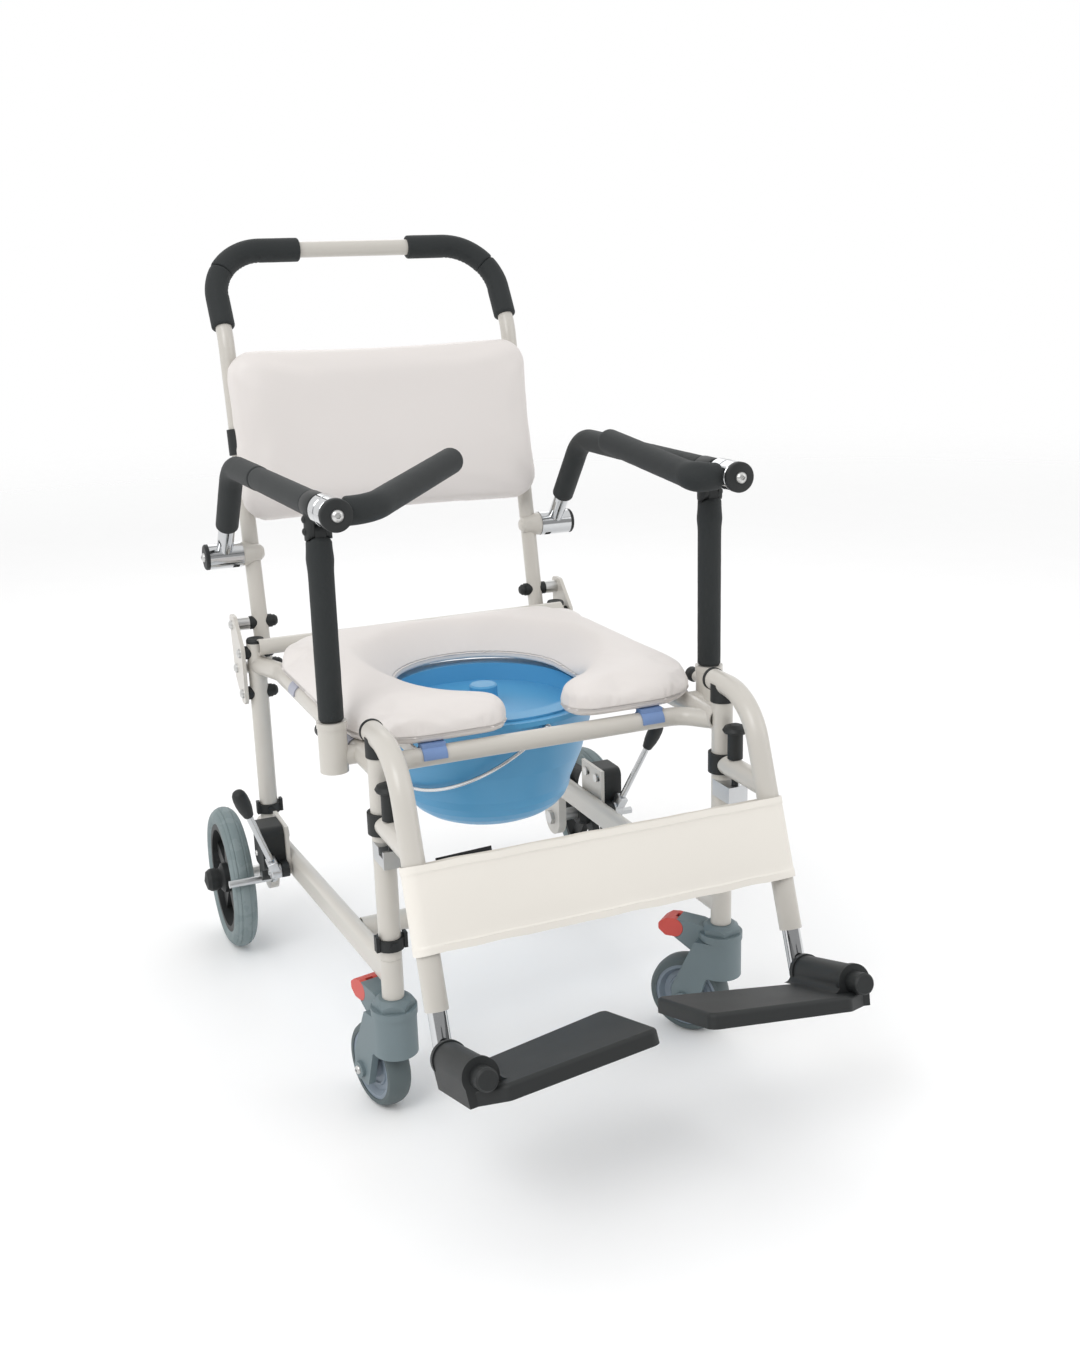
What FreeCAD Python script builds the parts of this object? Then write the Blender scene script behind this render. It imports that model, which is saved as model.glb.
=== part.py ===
import FreeCAD, Part
import math
import os

# Wheeled commode chair. Millimetres, floor at Z = 0, the chair faces -Y, +X is the occupant's left.
# Pairs are built on the left, at +X, and mirrored.

V = FreeCAD.Vector
X = V(1, 0, 0)
Y = V(0, 1, 0)
Z = V(0, 0, 1)

# Clearances
SLIDE_FIT = 0.08        # shaft in a bushed bore, radial
SEAT_GAP = 0.3          # faces of two bodies that rest on each other
WELD_OVERLAP = 1.0      # how far a welded tab runs into its neighbour before it is fused

# Tubes of the frame
POST_R = 12.5           # legs, posts, side rails and leg rest tubes
POST_WALL = 1.4
BACK_R = 11.0           # backrest tube, cross tubes and arm tubes
BACK_WALL = 1.6
GRIP_R = 14.5           # foam on the arms
POST_GRIP_R = 14.0      # foam on the arm posts
PUSH_GRIP_R = 16.0      # foam on the push handle

# Where the four legs stand, set out from the width of the seat pad
SEAT_HALF = 217.0
FRONT_LEG_INSET = 8.0
REAR_POST_OUTSET = 7.0
FRONT_LEG_X = SEAT_HALF - FRONT_LEG_INSET
FRONT_LEG_Y = -204.0
REAR_POST_X = SEAT_HALF + REAR_POST_OUTSET
REAR_POST_Y = 308.0

# Base: side rails with the lower posts that the seat legs slip over
RAIL_WIDTH = 18.0
RAIL_HEIGHT = 35.0
RAIL_CORNER = 8.5
RAIL_WALL = 2.0
RAIL_DRAIN_R = 2.5
RAIL_FRONT_Z = 178.0
RAIL_REAR_Z = 160.0
RAIL_END_Y = 352.0
FRONT_FOOT_Z = 151.0
FRONT_SHOULDER_Z = 198.0
REAR_SHOULDER_Z = 196.0
SPIGOT_LENGTH = 82.0
SPIGOT_R = POST_R - POST_WALL - SLIDE_FIT
SPIGOT_WALL = 2.0
STEM_R = 5.5
STEM_LENGTH = 38.0
BASE_CROSS_Y = -76.0
BASE_CROSS_RISE = 4.0
AXLE_Y = 329.0
AXLE_Z = 100.0
AXLE_R = 6.0
AXLE_PLATE_T = 12.0
AXLE_PLATE_R = 27.0

# Rear wheels
WHEEL_OUTSET = 57.0     # middle of the tyre from the rear post
WHEEL_X = REAR_POST_X + WHEEL_OUTSET
TYRE_R = 100.0
TYRE_WIDTH = 32.0
TYRE_BED_R = 77.0
TYRE_SHOULDER = 11.0
RIM_BAND = 8.0
RIM_WIDTH = 26.0
WHEEL_HUB_R = 21.0
WHEEL_HUB_HALF = 22.0
WHEEL_DOME_R = 16.0
WHEEL_DOME_H = 17.0
SPOKES = 5
SPOKE_WIDTH = 20.0
SPOKE_DEPTH = 11.0

# Casters
CASTER_R = 50.0
CASTER_TREAD_WIDTH = 28.0
CASTER_TREAD_DEPTH = 10.0
CASTER_TREAD_EDGE = 5.0
CASTER_TREAD_CROWN = 0.8
CASTER_HUB_R = 12.0
CASTER_HUB_FOOT_R = 17.0
CASTER_DISH = 4.0
CASTER_TRAIL = 40.0
CASTER_AXLE_R = 5.0
CASTER_CHEEK = 8.5
CASTER_GAP = 2.5
CASTER_HEX = 21.0
CASTER_HEX_H = 11.0
CASTER_COLLAR_H = 9.0
CASTER_COLLAR_LIP = 1.2
CASTER_SKIRT_Z = 83.0
CASTER_ARCH_TOP = 106.0
CASTER_ARCH_HALF = 15.0
CASTER_BOSS_R = 15.0
CASTER_CORNER = 4.0
CASTER_CAP_R = 9.5
CASTER_CAP_H = 4.0
CASTER_YAW_LEFT = 40.0
CASTER_YAW_RIGHT = 12.0
PEDAL_REACH = 57.0      # pedal pin behind the stem
PEDAL_Z = 138.0
PEDAL_ARM_DROP = 2.0
PEDAL_TONGUE_T = 9.0
PEDAL_TONGUE_R = 8.0
PEDAL_PIN_R = 3.0
PEDAL_WIDTH = 25.0
PEDAL_LENGTH = 20.0
PEDAL_HEIGHT = 24.0
KNUCKLE_GAP = 0.5

# Brakes
BRAKE_Y = 204.0
BRAKE_PLATE_T = 4.0
BRAKE_PLATE_LENGTH = 66.0
BRAKE_PLATE_LOW = 156.0
BRAKE_PLATE_HIGH = 222.0
BRAKE_SLOT_Z = 208.0
BRAKE_SLOT_SPREAD = 17.0
BRAKE_SCREW_R = 3.0
HOUSING_X = 30.0
HOUSING_Y = 54.0
HOUSING_LOW = 160.0
HOUSING_HIGH = 220.0
HOUSING_CORNER = 11.0
LEVER_Y = 167.0
LEVER_Z = 165.0
LEVER_PIN_R = 4.0
LEVER_BARREL_R = 10.0
LEVER_BARREL_LENGTH = 14.0
LEVER_ROD_R = 4.5
LEVER_RISE = 114.0
LEVER_FORWARD = 35.0
LEVER_OUTWARD = 42.0
LEVER_KNOB_R = 10.0
LEVER_KNOB_LENGTH = 44.0
SHOE_Y = 226.0
SHOE_Z = 132.0
SHOE_BAR_R = 5.0
SHOE_PIVOT_Y = 200.0
SHOE_PIVOT_Z = 150.0
SHOE_PIN_R = 4.0
SHOE_ARM_T = 6.0

# Seat frame
LEG_TOP_Z = 432.0
REAR_POST_TOP_Z = 442.0
POST_CAP_H = 6.0
SEAT_RAIL_INSET = 13.0
SEAT_RAIL_X = SEAT_HALF - SEAT_RAIL_INSET
SEAT_RAIL_Z = 411.0
SEAT_RAIL_BEND = 60.0
SEAT_RAIL_STRAIGHT_END = 250.0
FRONT_TUBE_Y = -162.0
FRONT_TUBE_Z = 408.0
FRONT_TUBE_SWEEP = 33.0
FRONT_TUBE_STRAIGHT = FRONT_LEG_X - FRONT_TUBE_SWEEP
FRONT_TUBE_BEND = 34.0
REAR_CROSS_Y = 290.0
REAR_CROSS_Z = 439.0
COLLAR_R = 16.0
COLLAR_H = 13.0
FRONT_COLLAR_UP = 12.0
REAR_COLLAR_UP = 1.0
COLLAR_EAR_H = 18.0
COLLAR_EAR_WIDTH = 9.0
COLLAR_EAR_T = 2.0
COLLAR_BUTTON_R = 4.5

# Arm sockets
SOCKET_R = 16.0
SOCKET_TOP = 453.0
SOCKET_BOTTOM = 395.0
SOCKET_FLOOR = 6.0
SOCKET_PLAY = 1.2
SOCKET_RIM = 0.8
SOCKET_RIM_H = 7.0
PLUNGER_Z = 431.0
PLUNGER_BODY_R = 7.0
PLUNGER_BODY_LENGTH = 14.0
PLUNGER_PIN_R = 3.0
PLUNGER_KNOB_R = 9.0
PLUNGER_KNOB_LENGTH = 16.0

# Backrest
BACK_INSET = 10.0
BACK_X = SEAT_HALF - BACK_INSET
BACK_FOOT_Z = 388.0
BACK_REF_Y = 346.0      # tube centre at BACK_REF_Z
BACK_REF_Z = 460.0
BACK_LEAN = 10.7
HANDLE_Y = 488.4
HANDLE_Z = 956.0
HANDLE_SLOPE = 114.0    # rise from the knee to the handle
HANDLE_KNEE_Z = HANDLE_Z - HANDLE_SLOPE
HANDLE_KNEE_BEND = 70.0
HANDLE_CORNER_BEND = 72.0
PUSH_GRIP_START = 0.12  # share of the sloping run that is bare below the foam
PUSH_GRIP_RUN = 127.0
PUSH_GRIP_END_X = BACK_X - PUSH_GRIP_RUN
PAD_OVERHANG = 12.0
PAD_WIDTH = 2 * (BACK_X + PAD_OVERHANG)
PAD_HEIGHT = 236.0
PAD_CENTRE_Z = 710.0
PAD_THICK = 44.0
PAD_CORNER = 36.0
PAD_DRAW_IN = 3.0
PAD_CLIP_HALF = 17.0
PAD_CLIP_DROP = 6.0     # clip's middle below the pad's middle
PAD_CLIP_WALL = 3.0

# Back brackets
BRACKET_T = 5.0
BRACKET_BOLT_R = 3.5
BRACKET_CORNER = 9.0
BOLT_HEAD_R = 6.5
BOLT_HEAD_H = 4.6
SADDLE_T = 5.0
SADDLE_R = 9.2
DOME_NUT_R = 8.0
DOME_NUT_H = 9.0
BRACKET_BACK_BOLTS = (461.0, 402.0)
BRACKET_POST_BOLTS = (429.0, 372.0)
BRACKET_MARGIN = 14.0

# Arms
ARM_PIVOT_Y = 358.0
ARM_PIVOT_Z = 556.0
ARM_REAR_OUTSET = 39.0
ARM_FRONT_OUTSET = 18.0
ARM_REAR_X = BACK_X + ARM_REAR_OUTSET
ARM_FRONT_X = SEAT_HALF + ARM_FRONT_OUTSET
ARM_Z = 690.0
ARM_CORNER_Y = 252.0
ARM_FRONT_Y = -198.0
ARM_BEND = 62.0
ARM_PIN_R = 8.0
ARM_SLEEVE_R = 17.5
ARM_SLEEVE_LENGTH = 46.0
ARM_SLEEVE_INSIDE = 24.0
ARM_SLEEVE_START_X = ARM_REAR_X - ARM_SLEEVE_INSIDE
ARM_SLOT_OFFSET = 6.0
ARM_SLOT_LENGTH = 9.0
ARM_SLOT_WIDTH = 12.0
ARM_SLOT_TURN = -25.0
ARM_BOSS_R = 16.5
ARM_BOSS_NECK_R = 13.0
ARM_BOSS_BACK_R = 11.0
ARM_BOSS_TIP = 5.0
ARM_CAP_H = 5.0
CAP_EDGE = 1.5
ARM_FOAM_START = 58.0   # bare chrome from the pivot to the foam
ARM_HUB_R = 16.5
ARM_HUB_LENGTH = 40.0
ARM_DISC_R = 17.5
ARM_DISC_H = 8.0
ARM_CLAMP_Y = -124.0
ARM_CLAMP_WIDTH = 32.0
ARM_CLAMP_R = 17.0
POST_PIVOT_DROP = 26.0  # clamp bolt below the arm's axis
POST_PIN_R = 4.0
POST_TONGUE_T = 12.0
POST_FOAM_TOP = 653.5
POST_FOAM_BOTTOM = SOCKET_TOP + SEAT_GAP * 2
POST_INSERT = 35.0

# Safety bars
BAR_INSET = 43.0
BAR_PIVOT_X = ARM_FRONT_X - BAR_INSET
BAR_PIVOT_Y = -172.0
BAR_R = 15.5
BAR_LENGTH = 232.0
BAR_RISE = 5.0
BAR_TONGUE_T = 8.0
BAR_EYE_R = 9.0
BAR_PIN_R = 4.0
BAR_REST_LEFT = 0.0
BAR_REST_RIGHT = 42.0
BAR_SWING = 46.0

# Seat pad
SEAT_FRONT = -168.0
SEAT_REAR = 255.0
SEAT_FRONT_CORNER = 78.0
SEAT_REAR_CORNER = 66.0
SEAT_THICK = 47.0
SEAT_HOLE_R = 105.0
SEAT_HOLE_Y = 42.0
SEAT_GAP_HALF = 36.0
SEAT_LOBE_R = 34.0
SEAT_NECK_R = 90.0
SEAT_EDGE = 13.0        # thickness at the opening
SEAT_DISH = 56.0        # width of the slope down to the opening
SEAT_DISH_BOW = 7.0
CLIP_WALL = 1.6
CLIP_LENGTH = 28.0
CLIP_DROP = 1.0
CLIP_SIDE_Y = (-94.0, 144.0)
CLIP_FRONT_INSET = 82.0
CLIP_FRONT_X = SEAT_HALF - CLIP_FRONT_INSET

# Pan
PAN_Y = 29.0
PAN_RIM_Z = 415.0
PAN_TOP_R = 142.0
PAN_LIP = 10.0
PAN_FLANGE_R = PAN_TOP_R + PAN_LIP
PAN_FLANGE_T = 6.0
PAN_WALL = 2.5
PAN_TAPER = 20.0        # how much slimmer the pan is at PAN_MID_Z
PAN_MID_R = PAN_TOP_R - PAN_TAPER
PAN_MID_Z = 338.0
PAN_ROUND_TAPER = 15.0
PAN_ROUND_R = PAN_MID_R - PAN_ROUND_TAPER
PAN_ROUND_Z = 302.0     # where the wall turns into the round bottom
PAN_FLOOR_R = PAN_ROUND_R * 0.44
PAN_FLOOR_Z = 258.0
PAN_ROUND_STEPS = 7
LID_INSET = 1.0
LID_R = PAN_TOP_R - LID_INSET
LID_T = 2.5
LID_WELL_INSET = 26.0
LID_WELL_R = PAN_TOP_R - LID_WELL_INSET
LID_WELL_DRAFT = 3.0
LID_WELL_DEPTH = 22.0
LID_KNOB_R = 18.5
LID_KNOB_EDGE = 2.0
LID_KNOB_TOP = 423.0
RUNNER_T = 3.0
RUNNER_LEDGE = 8.0
RUNNER_HEIGHT = 14.0
BAIL_R = 2.5
BAIL_STANDOFF = 5.0
BAIL_SPAN_R = PAN_TOP_R + BAIL_STANDOFF
BAIL_TWIST = 9.0
BAIL_DROP = 36.5
BAIL_BELOW = 12.0       # bail ends below the rim
BAIL_Z = PAN_RIM_Z - BAIL_BELOW

# Leg rests
HANGER_Z = 454.0
HANGER_BACK_Y = -185.0
HANGER_BEND = 72.0
LEG_LEAN = 20.4
LEG_REF_Y = -305.0      # leg tube centre at LEG_REF_Z
LEG_REF_Z = 348.0
LEG_END_Z = 208.0
EXTENSION_R = 10.0
EXTENSION_INSERT = 120.0
FOOT_AXIS_Z = 165.0
LATCH_Z = 358.0
LATCH_Y = -234.0
LATCH_PIN_R = 4.0
LATCH_STEM_R = 9.0
LATCH_CAP_R = 15.0
LATCH_CAP_H = 9.5
LATCH_TOP_Z = 412.0
LATCH_BITE = 8.0        # how deep the pin stands in the catch
CATCH_TOP_Z = 338.0
CATCH_H = 20.0
CLAMP_LOW = 346.0
CLAMP_HIGH = 370.0
CLAMP_R = 16.5
BUSH_R = 14.0
BUSH_PLUG = 22.0
BUSH_CAP_T = 4.0
BUSH_CAP_LIP = 1.0

# Footplates
FOOT_TILT = 18.0        # toes up
FOOT_CANT = 6.0         # inner edge up
BARREL_R = 17.5
BARREL_START = 13.0
BARREL_LENGTH = 98.0
BARREL_RING = 1.5
BARREL_RING_LENGTH = 6.0
BARREL_PIN_R = 9.0
PLATE_DROP = 10.0       # plate top below the barrel axis
PLATE_T = 16.0
PLATE_REACH = 180.0
PLATE_FRONT = 130.0
PLATE_BACK_OUTER = 27.0
PLATE_BACK_INNER = 1.0
PLATE_CORNER = 10.0
PLATE_EDGE = 4.5
PLATE_COVE = 9.0
FOOT_KNOB_R = 11.5
FOOT_KNOB_H = 20.0
FOOT_KNOB_EDGE = 2.0

# Calf strap
STRAP_T = 2.2
STRAP_HEIGHT = 90.0
STRAP_TOP_Z = 346.0


def unit(vector):
    """Copy of a vector, one long."""
    return V(vector).normalize()


def rod(a, b, radius):
    """Round bar from a to b."""
    return Part.makeCylinder(radius, (b - a).Length, a, b - a)


def tube(a, b, outer, bore):
    """Round tube from a to b, open at both ends."""
    return rod(a, b, outer).cut(rod(a, b, bore))


def box(low, high):
    """Box between two corners."""
    return Part.makeBox(high.x - low.x, high.y - low.y, high.z - low.z, low)


def fused(first, *others):
    """One solid from pieces that run into each other."""
    return first.fuse(list(others)).removeSplitter()


def corner_arc(before, corner, after, bend):
    """Tangent points and arc that round one corner of a path."""
    back = unit(before - corner)
    ahead = unit(after - corner)
    half = back.getAngle(ahead) / 2
    enter = corner + back * (bend / math.tan(half))
    leave = corner + ahead * (bend / math.tan(half))
    middle = corner + unit(back + ahead) * (bend / math.sin(half) - bend)
    return enter, Part.Arc(enter, middle, leave).toShape(), leave


def bent_path(points, bends):
    """Open path through points, each inner corner rounded to its bend radius."""
    edges = []
    start = points[0]
    for before, corner, after, bend in zip(points, points[1:], points[2:], bends):
        enter, arc, leave = corner_arc(before, corner, after, bend)
        edges.append(Part.LineSegment(start, enter).toShape())
        edges.append(arc)
        start = leave
    edges.append(Part.LineSegment(start, points[-1]).toShape())
    return Part.Wire(edges)


def bent_rod(points, bends, radius):
    """Round bar along a bent path."""
    ring = Part.Wire([Part.Circle(points[0], points[1] - points[0], radius).toShape()])
    return bent_path(points, bends).makePipeShell([ring], True, True)


def bent_tube(points, bends, outer, wall):
    """Round tube along a bent path, open at both ends."""
    return bent_rod(points, bends, outer).cut(bent_rod(points, bends, outer - wall))


def rounded_outline(corners, radius):
    """Closed face through corners in order, each rounded to one radius."""
    count = len(corners)
    rounds = []
    for index, corner in enumerate(corners):
        rounds.append(corner_arc(corners[index - 1], corner, corners[(index + 1) % count], radius))
    edges = []
    for index, (enter, arc, leave) in enumerate(rounds):
        edges.append(arc)
        edges.append(Part.LineSegment(leave, rounds[(index + 1) % count][0]).toShape())
    return Part.Face(Part.Wire(edges))


def turned(origin, axis, steps):
    """Solid of revolution through (distance along the axis, radius) steps."""
    axis = unit(axis)
    side = unit(axis.cross(Z if abs(axis.z) < 0.9 else X))
    points = [origin + axis * along + side * radius for along, radius in steps]
    return Part.Face(Part.makePolygon(points + points[:1])).revolve(origin, axis, 360)


def prism(origin, axis, flats_radius, height, sides=6):
    """Regular prism, such as a hexagon head, measured across its flats."""
    axis = unit(axis)
    side = unit(axis.cross(Z if abs(axis.z) < 0.9 else X))
    ring = FreeCAD.Rotation(axis, 360.0 / sides)
    corner = side * (flats_radius / math.cos(math.pi / sides))
    points = []
    for _ in range(sides):
        points.append(origin + corner)
        corner = ring.multVec(corner)
    return Part.Face(Part.makePolygon(points + points[:1])).extrude(axis * height)


def turn(shape, centre, axis, degrees):
    """Copy of a shape, turned about an axis through centre."""
    copy = shape.copy()
    copy.rotate(centre, axis, degrees)
    return copy


def mirrored(shape):
    """Copy of a left-hand shape for the right-hand side."""
    return shape.mirror(V(0, 0, 0), X)


def both(shape):
    """A left-hand shape and its right-hand copy."""
    return [shape, mirrored(shape)]


def rail_x(y):
    """Centre of the splayed base rail at a given Y."""
    share = (y - FRONT_LEG_Y) / (REAR_POST_Y - FRONT_LEG_Y)
    return FRONT_LEG_X + share * (REAR_POST_X - FRONT_LEG_X)


def rail_z(y):
    """Centre height of the sloping base rail at a given Y."""
    share = (y - FRONT_LEG_Y) / (REAR_POST_Y - FRONT_LEG_Y)
    return RAIL_FRONT_Z + share * (RAIL_REAR_Z - RAIL_FRONT_Z)


def back_y(z):
    """Centre of the leaning backrest tube at a given Z."""
    return BACK_REF_Y + (z - BACK_REF_Z) * math.tan(math.radians(BACK_LEAN))


def leg_point(z):
    """Centre of the leaning leg rest tube at a given Z."""
    return V(FRONT_LEG_X, LEG_REF_Y + (z - LEG_REF_Z) * math.tan(math.radians(LEG_LEAN)), z)


# Base

def rail_point(y):
    """Point on the centre line of the base rail."""
    return V(rail_x(y), y, rail_z(y))


def rail_beam(start_y, end_y, inset):
    """Length of the base rail's section, drawn in by inset all round."""
    start = rail_point(start_y)
    run = rail_point(end_y) - start
    across = unit(run.cross(Z)) * (RAIL_WIDTH / 2 - inset)
    up = Z * (RAIL_HEIGHT / 2 - inset)
    section = [start - across - up, start + across - up, start + across + up, start - across + up]
    return rounded_outline(section, RAIL_CORNER - inset).extrude(run)


def base_rail():
    """Hollow side rail welded to its lower posts, axle plate and brake plate."""
    beam = rail_beam(FRONT_LEG_Y, RAIL_END_Y, 0)
    room = POST_R + RAIL_WALL
    hollow = rail_beam(FRONT_LEG_Y + room, REAR_POST_Y - room, RAIL_WALL)
    drain = rail_point((FRONT_LEG_Y + REAR_POST_Y) / 2)

    leg = V(FRONT_LEG_X, FRONT_LEG_Y, 0)
    post = V(REAR_POST_X, REAR_POST_Y, 0)
    front_post = rod(leg + Z * FRONT_FOOT_Z, leg + Z * FRONT_SHOULDER_Z, POST_R)
    rear_post = rod(post + Z * RAIL_REAR_Z, post + Z * REAR_SHOULDER_Z, POST_R)
    front_spigot = rod(leg + Z * (FRONT_SHOULDER_Z - WELD_OVERLAP),
                       leg + Z * (FRONT_SHOULDER_Z + SPIGOT_LENGTH), SPIGOT_R)
    rear_spigot = rod(post + Z * (REAR_SHOULDER_Z - WELD_OVERLAP),
                      post + Z * (REAR_SHOULDER_Z + SPIGOT_LENGTH), SPIGOT_R)

    plate_x = rail_x(AXLE_Y) - AXLE_PLATE_T / 2
    axle = V(plate_x, AXLE_Y, AXLE_Z)
    axle_plate = rod(axle, axle + X * AXLE_PLATE_T, AXLE_PLATE_R)
    axle_web = box(axle - Y * AXLE_PLATE_R,
                   axle + V(AXLE_PLATE_T, AXLE_PLATE_R, rail_z(AXLE_Y) - AXLE_Z))

    plate_inner = rail_x(BRAKE_Y) + RAIL_WIDTH / 2 - WELD_OVERLAP
    half = BRAKE_PLATE_LENGTH / 2
    brake_plate = box(V(plate_inner, BRAKE_Y - half, BRAKE_PLATE_LOW),
                      V(brake_face_x(), BRAKE_Y + half, BRAKE_PLATE_HIGH))

    solid = fused(beam, front_post, rear_post, front_spigot, rear_spigot, axle_plate, axle_web, brake_plate)
    solid = solid.cut(hollow).cut(rod(drain - Z * RAIL_HEIGHT, drain, RAIL_DRAIN_R))
    bore = SPIGOT_R - SPIGOT_WALL
    stem_top = FRONT_FOOT_Z + STEM_LENGTH + SEAT_GAP
    solid = solid.cut(rod(leg + Z * FRONT_FOOT_Z, leg + Z * stem_top, STEM_R + SLIDE_FIT))
    solid = solid.cut(rod(leg + Z * (stem_top + POST_WALL * 4),
                          leg + Z * (FRONT_SHOULDER_Z + SPIGOT_LENGTH), bore))
    solid = solid.cut(rod(post + Z * RAIL_REAR_Z, post + Z * (REAR_SHOULDER_Z + SPIGOT_LENGTH), bore))
    solid = solid.cut(rod(axle, axle + X * AXLE_PLATE_T, AXLE_R))
    for screw in brake_screw_points():
        solid = solid.cut(brake_slot(screw))
    return solid


def brake_face_x():
    """Outer face of the brake plate, where the housing bolts on."""
    return rail_x(BRAKE_Y) + RAIL_WIDTH / 2 + BRAKE_PLATE_T


def brake_screw_points():
    """Screw centres on the outer face of the brake plate."""
    face = brake_face_x()
    return [V(face, BRAKE_Y + side * BRAKE_SLOT_SPREAD, BRAKE_SLOT_Z) for side in (-1, 1)]


def brake_slot(screw):
    """Level slot through the brake plate round one screw."""
    reach = X * (BRAKE_PLATE_T + WELD_OVERLAP)
    ends = [screw - Y * (BRAKE_SLOT_SPREAD * 0.45), screw + Y * (BRAKE_SLOT_SPREAD * 0.45)]
    cuts = [rod(end - reach, end + reach, BRAKE_SCREW_R) for end in ends]
    middle = box(ends[0] - reach - Z * BRAKE_SCREW_R, ends[1] + reach + Z * BRAKE_SCREW_R)
    return fused(cuts[0], cuts[1], middle)


def base_cross_tube():
    """Tube between the two base rails."""
    reach = rail_x(BASE_CROSS_Y) - RAIL_WIDTH / 2 + WELD_OVERLAP
    centre = V(0, BASE_CROSS_Y, rail_z(BASE_CROSS_Y) + BASE_CROSS_RISE)
    solid = tube(centre - X * reach, centre + X * reach, POST_R, POST_R - BACK_WALL)
    for cutter in both(base_rail()):
        solid = solid.cut(cutter)
    return max(solid.Solids, key=lambda piece: piece.Volume)


def rear_axle():
    """Axle bolt with its head inside the plate and a spacer up to the wheel."""
    inner = rail_x(AXLE_Y) - AXLE_PLATE_T / 2
    outer = inner + AXLE_PLATE_T
    hub_inner = WHEEL_X - WHEEL_HUB_HALF - SEAT_GAP
    centre = V(0, AXLE_Y, AXLE_Z)
    shank = rod(centre + X * inner, centre + X * (WHEEL_X + WHEEL_HUB_HALF - POST_WALL * 2), AXLE_R)
    head = prism(centre + X * (inner - AXLE_R), X, AXLE_R * 1.6, AXLE_R)
    spacer = rod(centre + X * outer, centre + X * hub_inner, AXLE_R * 1.6)
    return fused(shank, head, spacer)


def brake_screw(screw):
    """Pan-head screw that clamps the brake housing through its slot."""
    inner = screw - X * (BRAKE_PLATE_T + WELD_OVERLAP)
    return fused(rod(inner, screw, BRAKE_SCREW_R), rod(inner - X * BRAKE_SCREW_R, inner, BRAKE_SCREW_R * 2))


def brake_housing():
    """Moulded brake body with a lug in front for the lever and one below for the shoe."""
    face = brake_face_x()
    low = V(face, BRAKE_Y - HOUSING_Y / 2, HOUSING_LOW)
    high = V(face + HOUSING_X, BRAKE_Y + HOUSING_Y / 2, HOUSING_HIGH)
    body = box(low, high)
    rim = [edge for edge in body.Edges if abs(edge.tangentAt(edge.FirstParameter).x) > 0.9]
    body = body.makeFillet(HOUSING_CORNER, rim)
    lever_lug = box(V(face, LEVER_Y, LEVER_Z - LEVER_BARREL_R),
                    V(face + LEVER_BARREL_R, low.y + WELD_OVERLAP, LEVER_Z + LEVER_BARREL_R))
    lever_eye = rod(V(face, LEVER_Y, LEVER_Z), V(face + LEVER_BARREL_R, LEVER_Y, LEVER_Z), LEVER_BARREL_R)
    shoe_x = shoe_arm_x() + SHOE_ARM_T + SEAT_GAP
    shoe_r = SHOE_PIN_R * 2.2
    shoe_eye = rod(V(shoe_x, SHOE_PIVOT_Y, SHOE_PIVOT_Z),
                   V(face + HOUSING_X, SHOE_PIVOT_Y, SHOE_PIVOT_Z), shoe_r)
    shoe_lug = box(V(shoe_x, SHOE_PIVOT_Y - shoe_r, SHOE_PIVOT_Z),
                   V(face + HOUSING_X, SHOE_PIVOT_Y + shoe_r, HOUSING_LOW + WELD_OVERLAP))
    solid = fused(body, lever_lug, lever_eye, shoe_eye, shoe_lug)
    solid = solid.cut(rod(V(face, LEVER_Y, LEVER_Z), V(face + HOUSING_X, LEVER_Y, LEVER_Z),
                          LEVER_PIN_R + SLIDE_FIT))
    return solid.cut(rod(V(face, SHOE_PIVOT_Y, SHOE_PIVOT_Z),
                         V(face + HOUSING_X * 2, SHOE_PIVOT_Y, SHOE_PIVOT_Z), SHOE_PIN_R + SLIDE_FIT))


def shoe_arm_x():
    """Inner face of the brake shoe's arm."""
    return brake_face_x() + SHOE_ARM_T


def brake_lever():
    """Lever rod on its barrel, with a plastic knob."""
    inner = brake_face_x() + LEVER_BARREL_R + SEAT_GAP
    pivot = V(inner, LEVER_Y, LEVER_Z)
    barrel = rod(pivot, pivot + X * LEVER_BARREL_LENGTH, LEVER_BARREL_R)
    pin = rod(pivot - X * LEVER_BARREL_R, pivot + X * WELD_OVERLAP, LEVER_PIN_R)
    foot = pivot + X * (LEVER_BARREL_LENGTH / 2)
    tip = foot + V(LEVER_OUTWARD, -LEVER_FORWARD, LEVER_RISE)
    along = unit(tip - foot)
    lever = fused(barrel, pin, rod(foot, tip - along * (LEVER_KNOB_LENGTH / 2), LEVER_ROD_R))
    half = LEVER_KNOB_LENGTH / 2
    knob = turned(tip, along, [(-half, 0), (-half, LEVER_KNOB_R * 0.75), (-half * 0.5, LEVER_KNOB_R),
                               (half * 0.55, LEVER_KNOB_R), (half * 0.9, LEVER_KNOB_R * 0.7), (half, 0)])
    return [lever, knob.cut(lever)]


def brake_shoe():
    """Aluminium bar across the tyre on a short arm."""
    inner = shoe_arm_x()
    pivot = V(inner, SHOE_PIVOT_Y, SHOE_PIVOT_Z)
    bar = V(inner, SHOE_Y, SHOE_Z)
    along = unit(bar - pivot)
    side = along.cross(X) * (SHOE_PIN_R * 1.8)
    web = Part.Face(Part.makePolygon([pivot + side, bar + side, bar - side, pivot - side, pivot + side]))
    arm = fused(web.extrude(X * SHOE_ARM_T), rod(pivot, pivot + X * SHOE_ARM_T, SHOE_PIN_R * 1.8),
                rod(bar, bar + X * SHOE_ARM_T, SHOE_PIN_R * 1.8))
    pin = rod(pivot, pivot + X * (HOUSING_X - SHOE_ARM_T), SHOE_PIN_R)
    shoe = rod(bar, V(WHEEL_X + TYRE_WIDTH * 0.7, SHOE_Y, SHOE_Z), SHOE_BAR_R)
    return fused(arm, pin, shoe)


# Rear wheels

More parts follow.
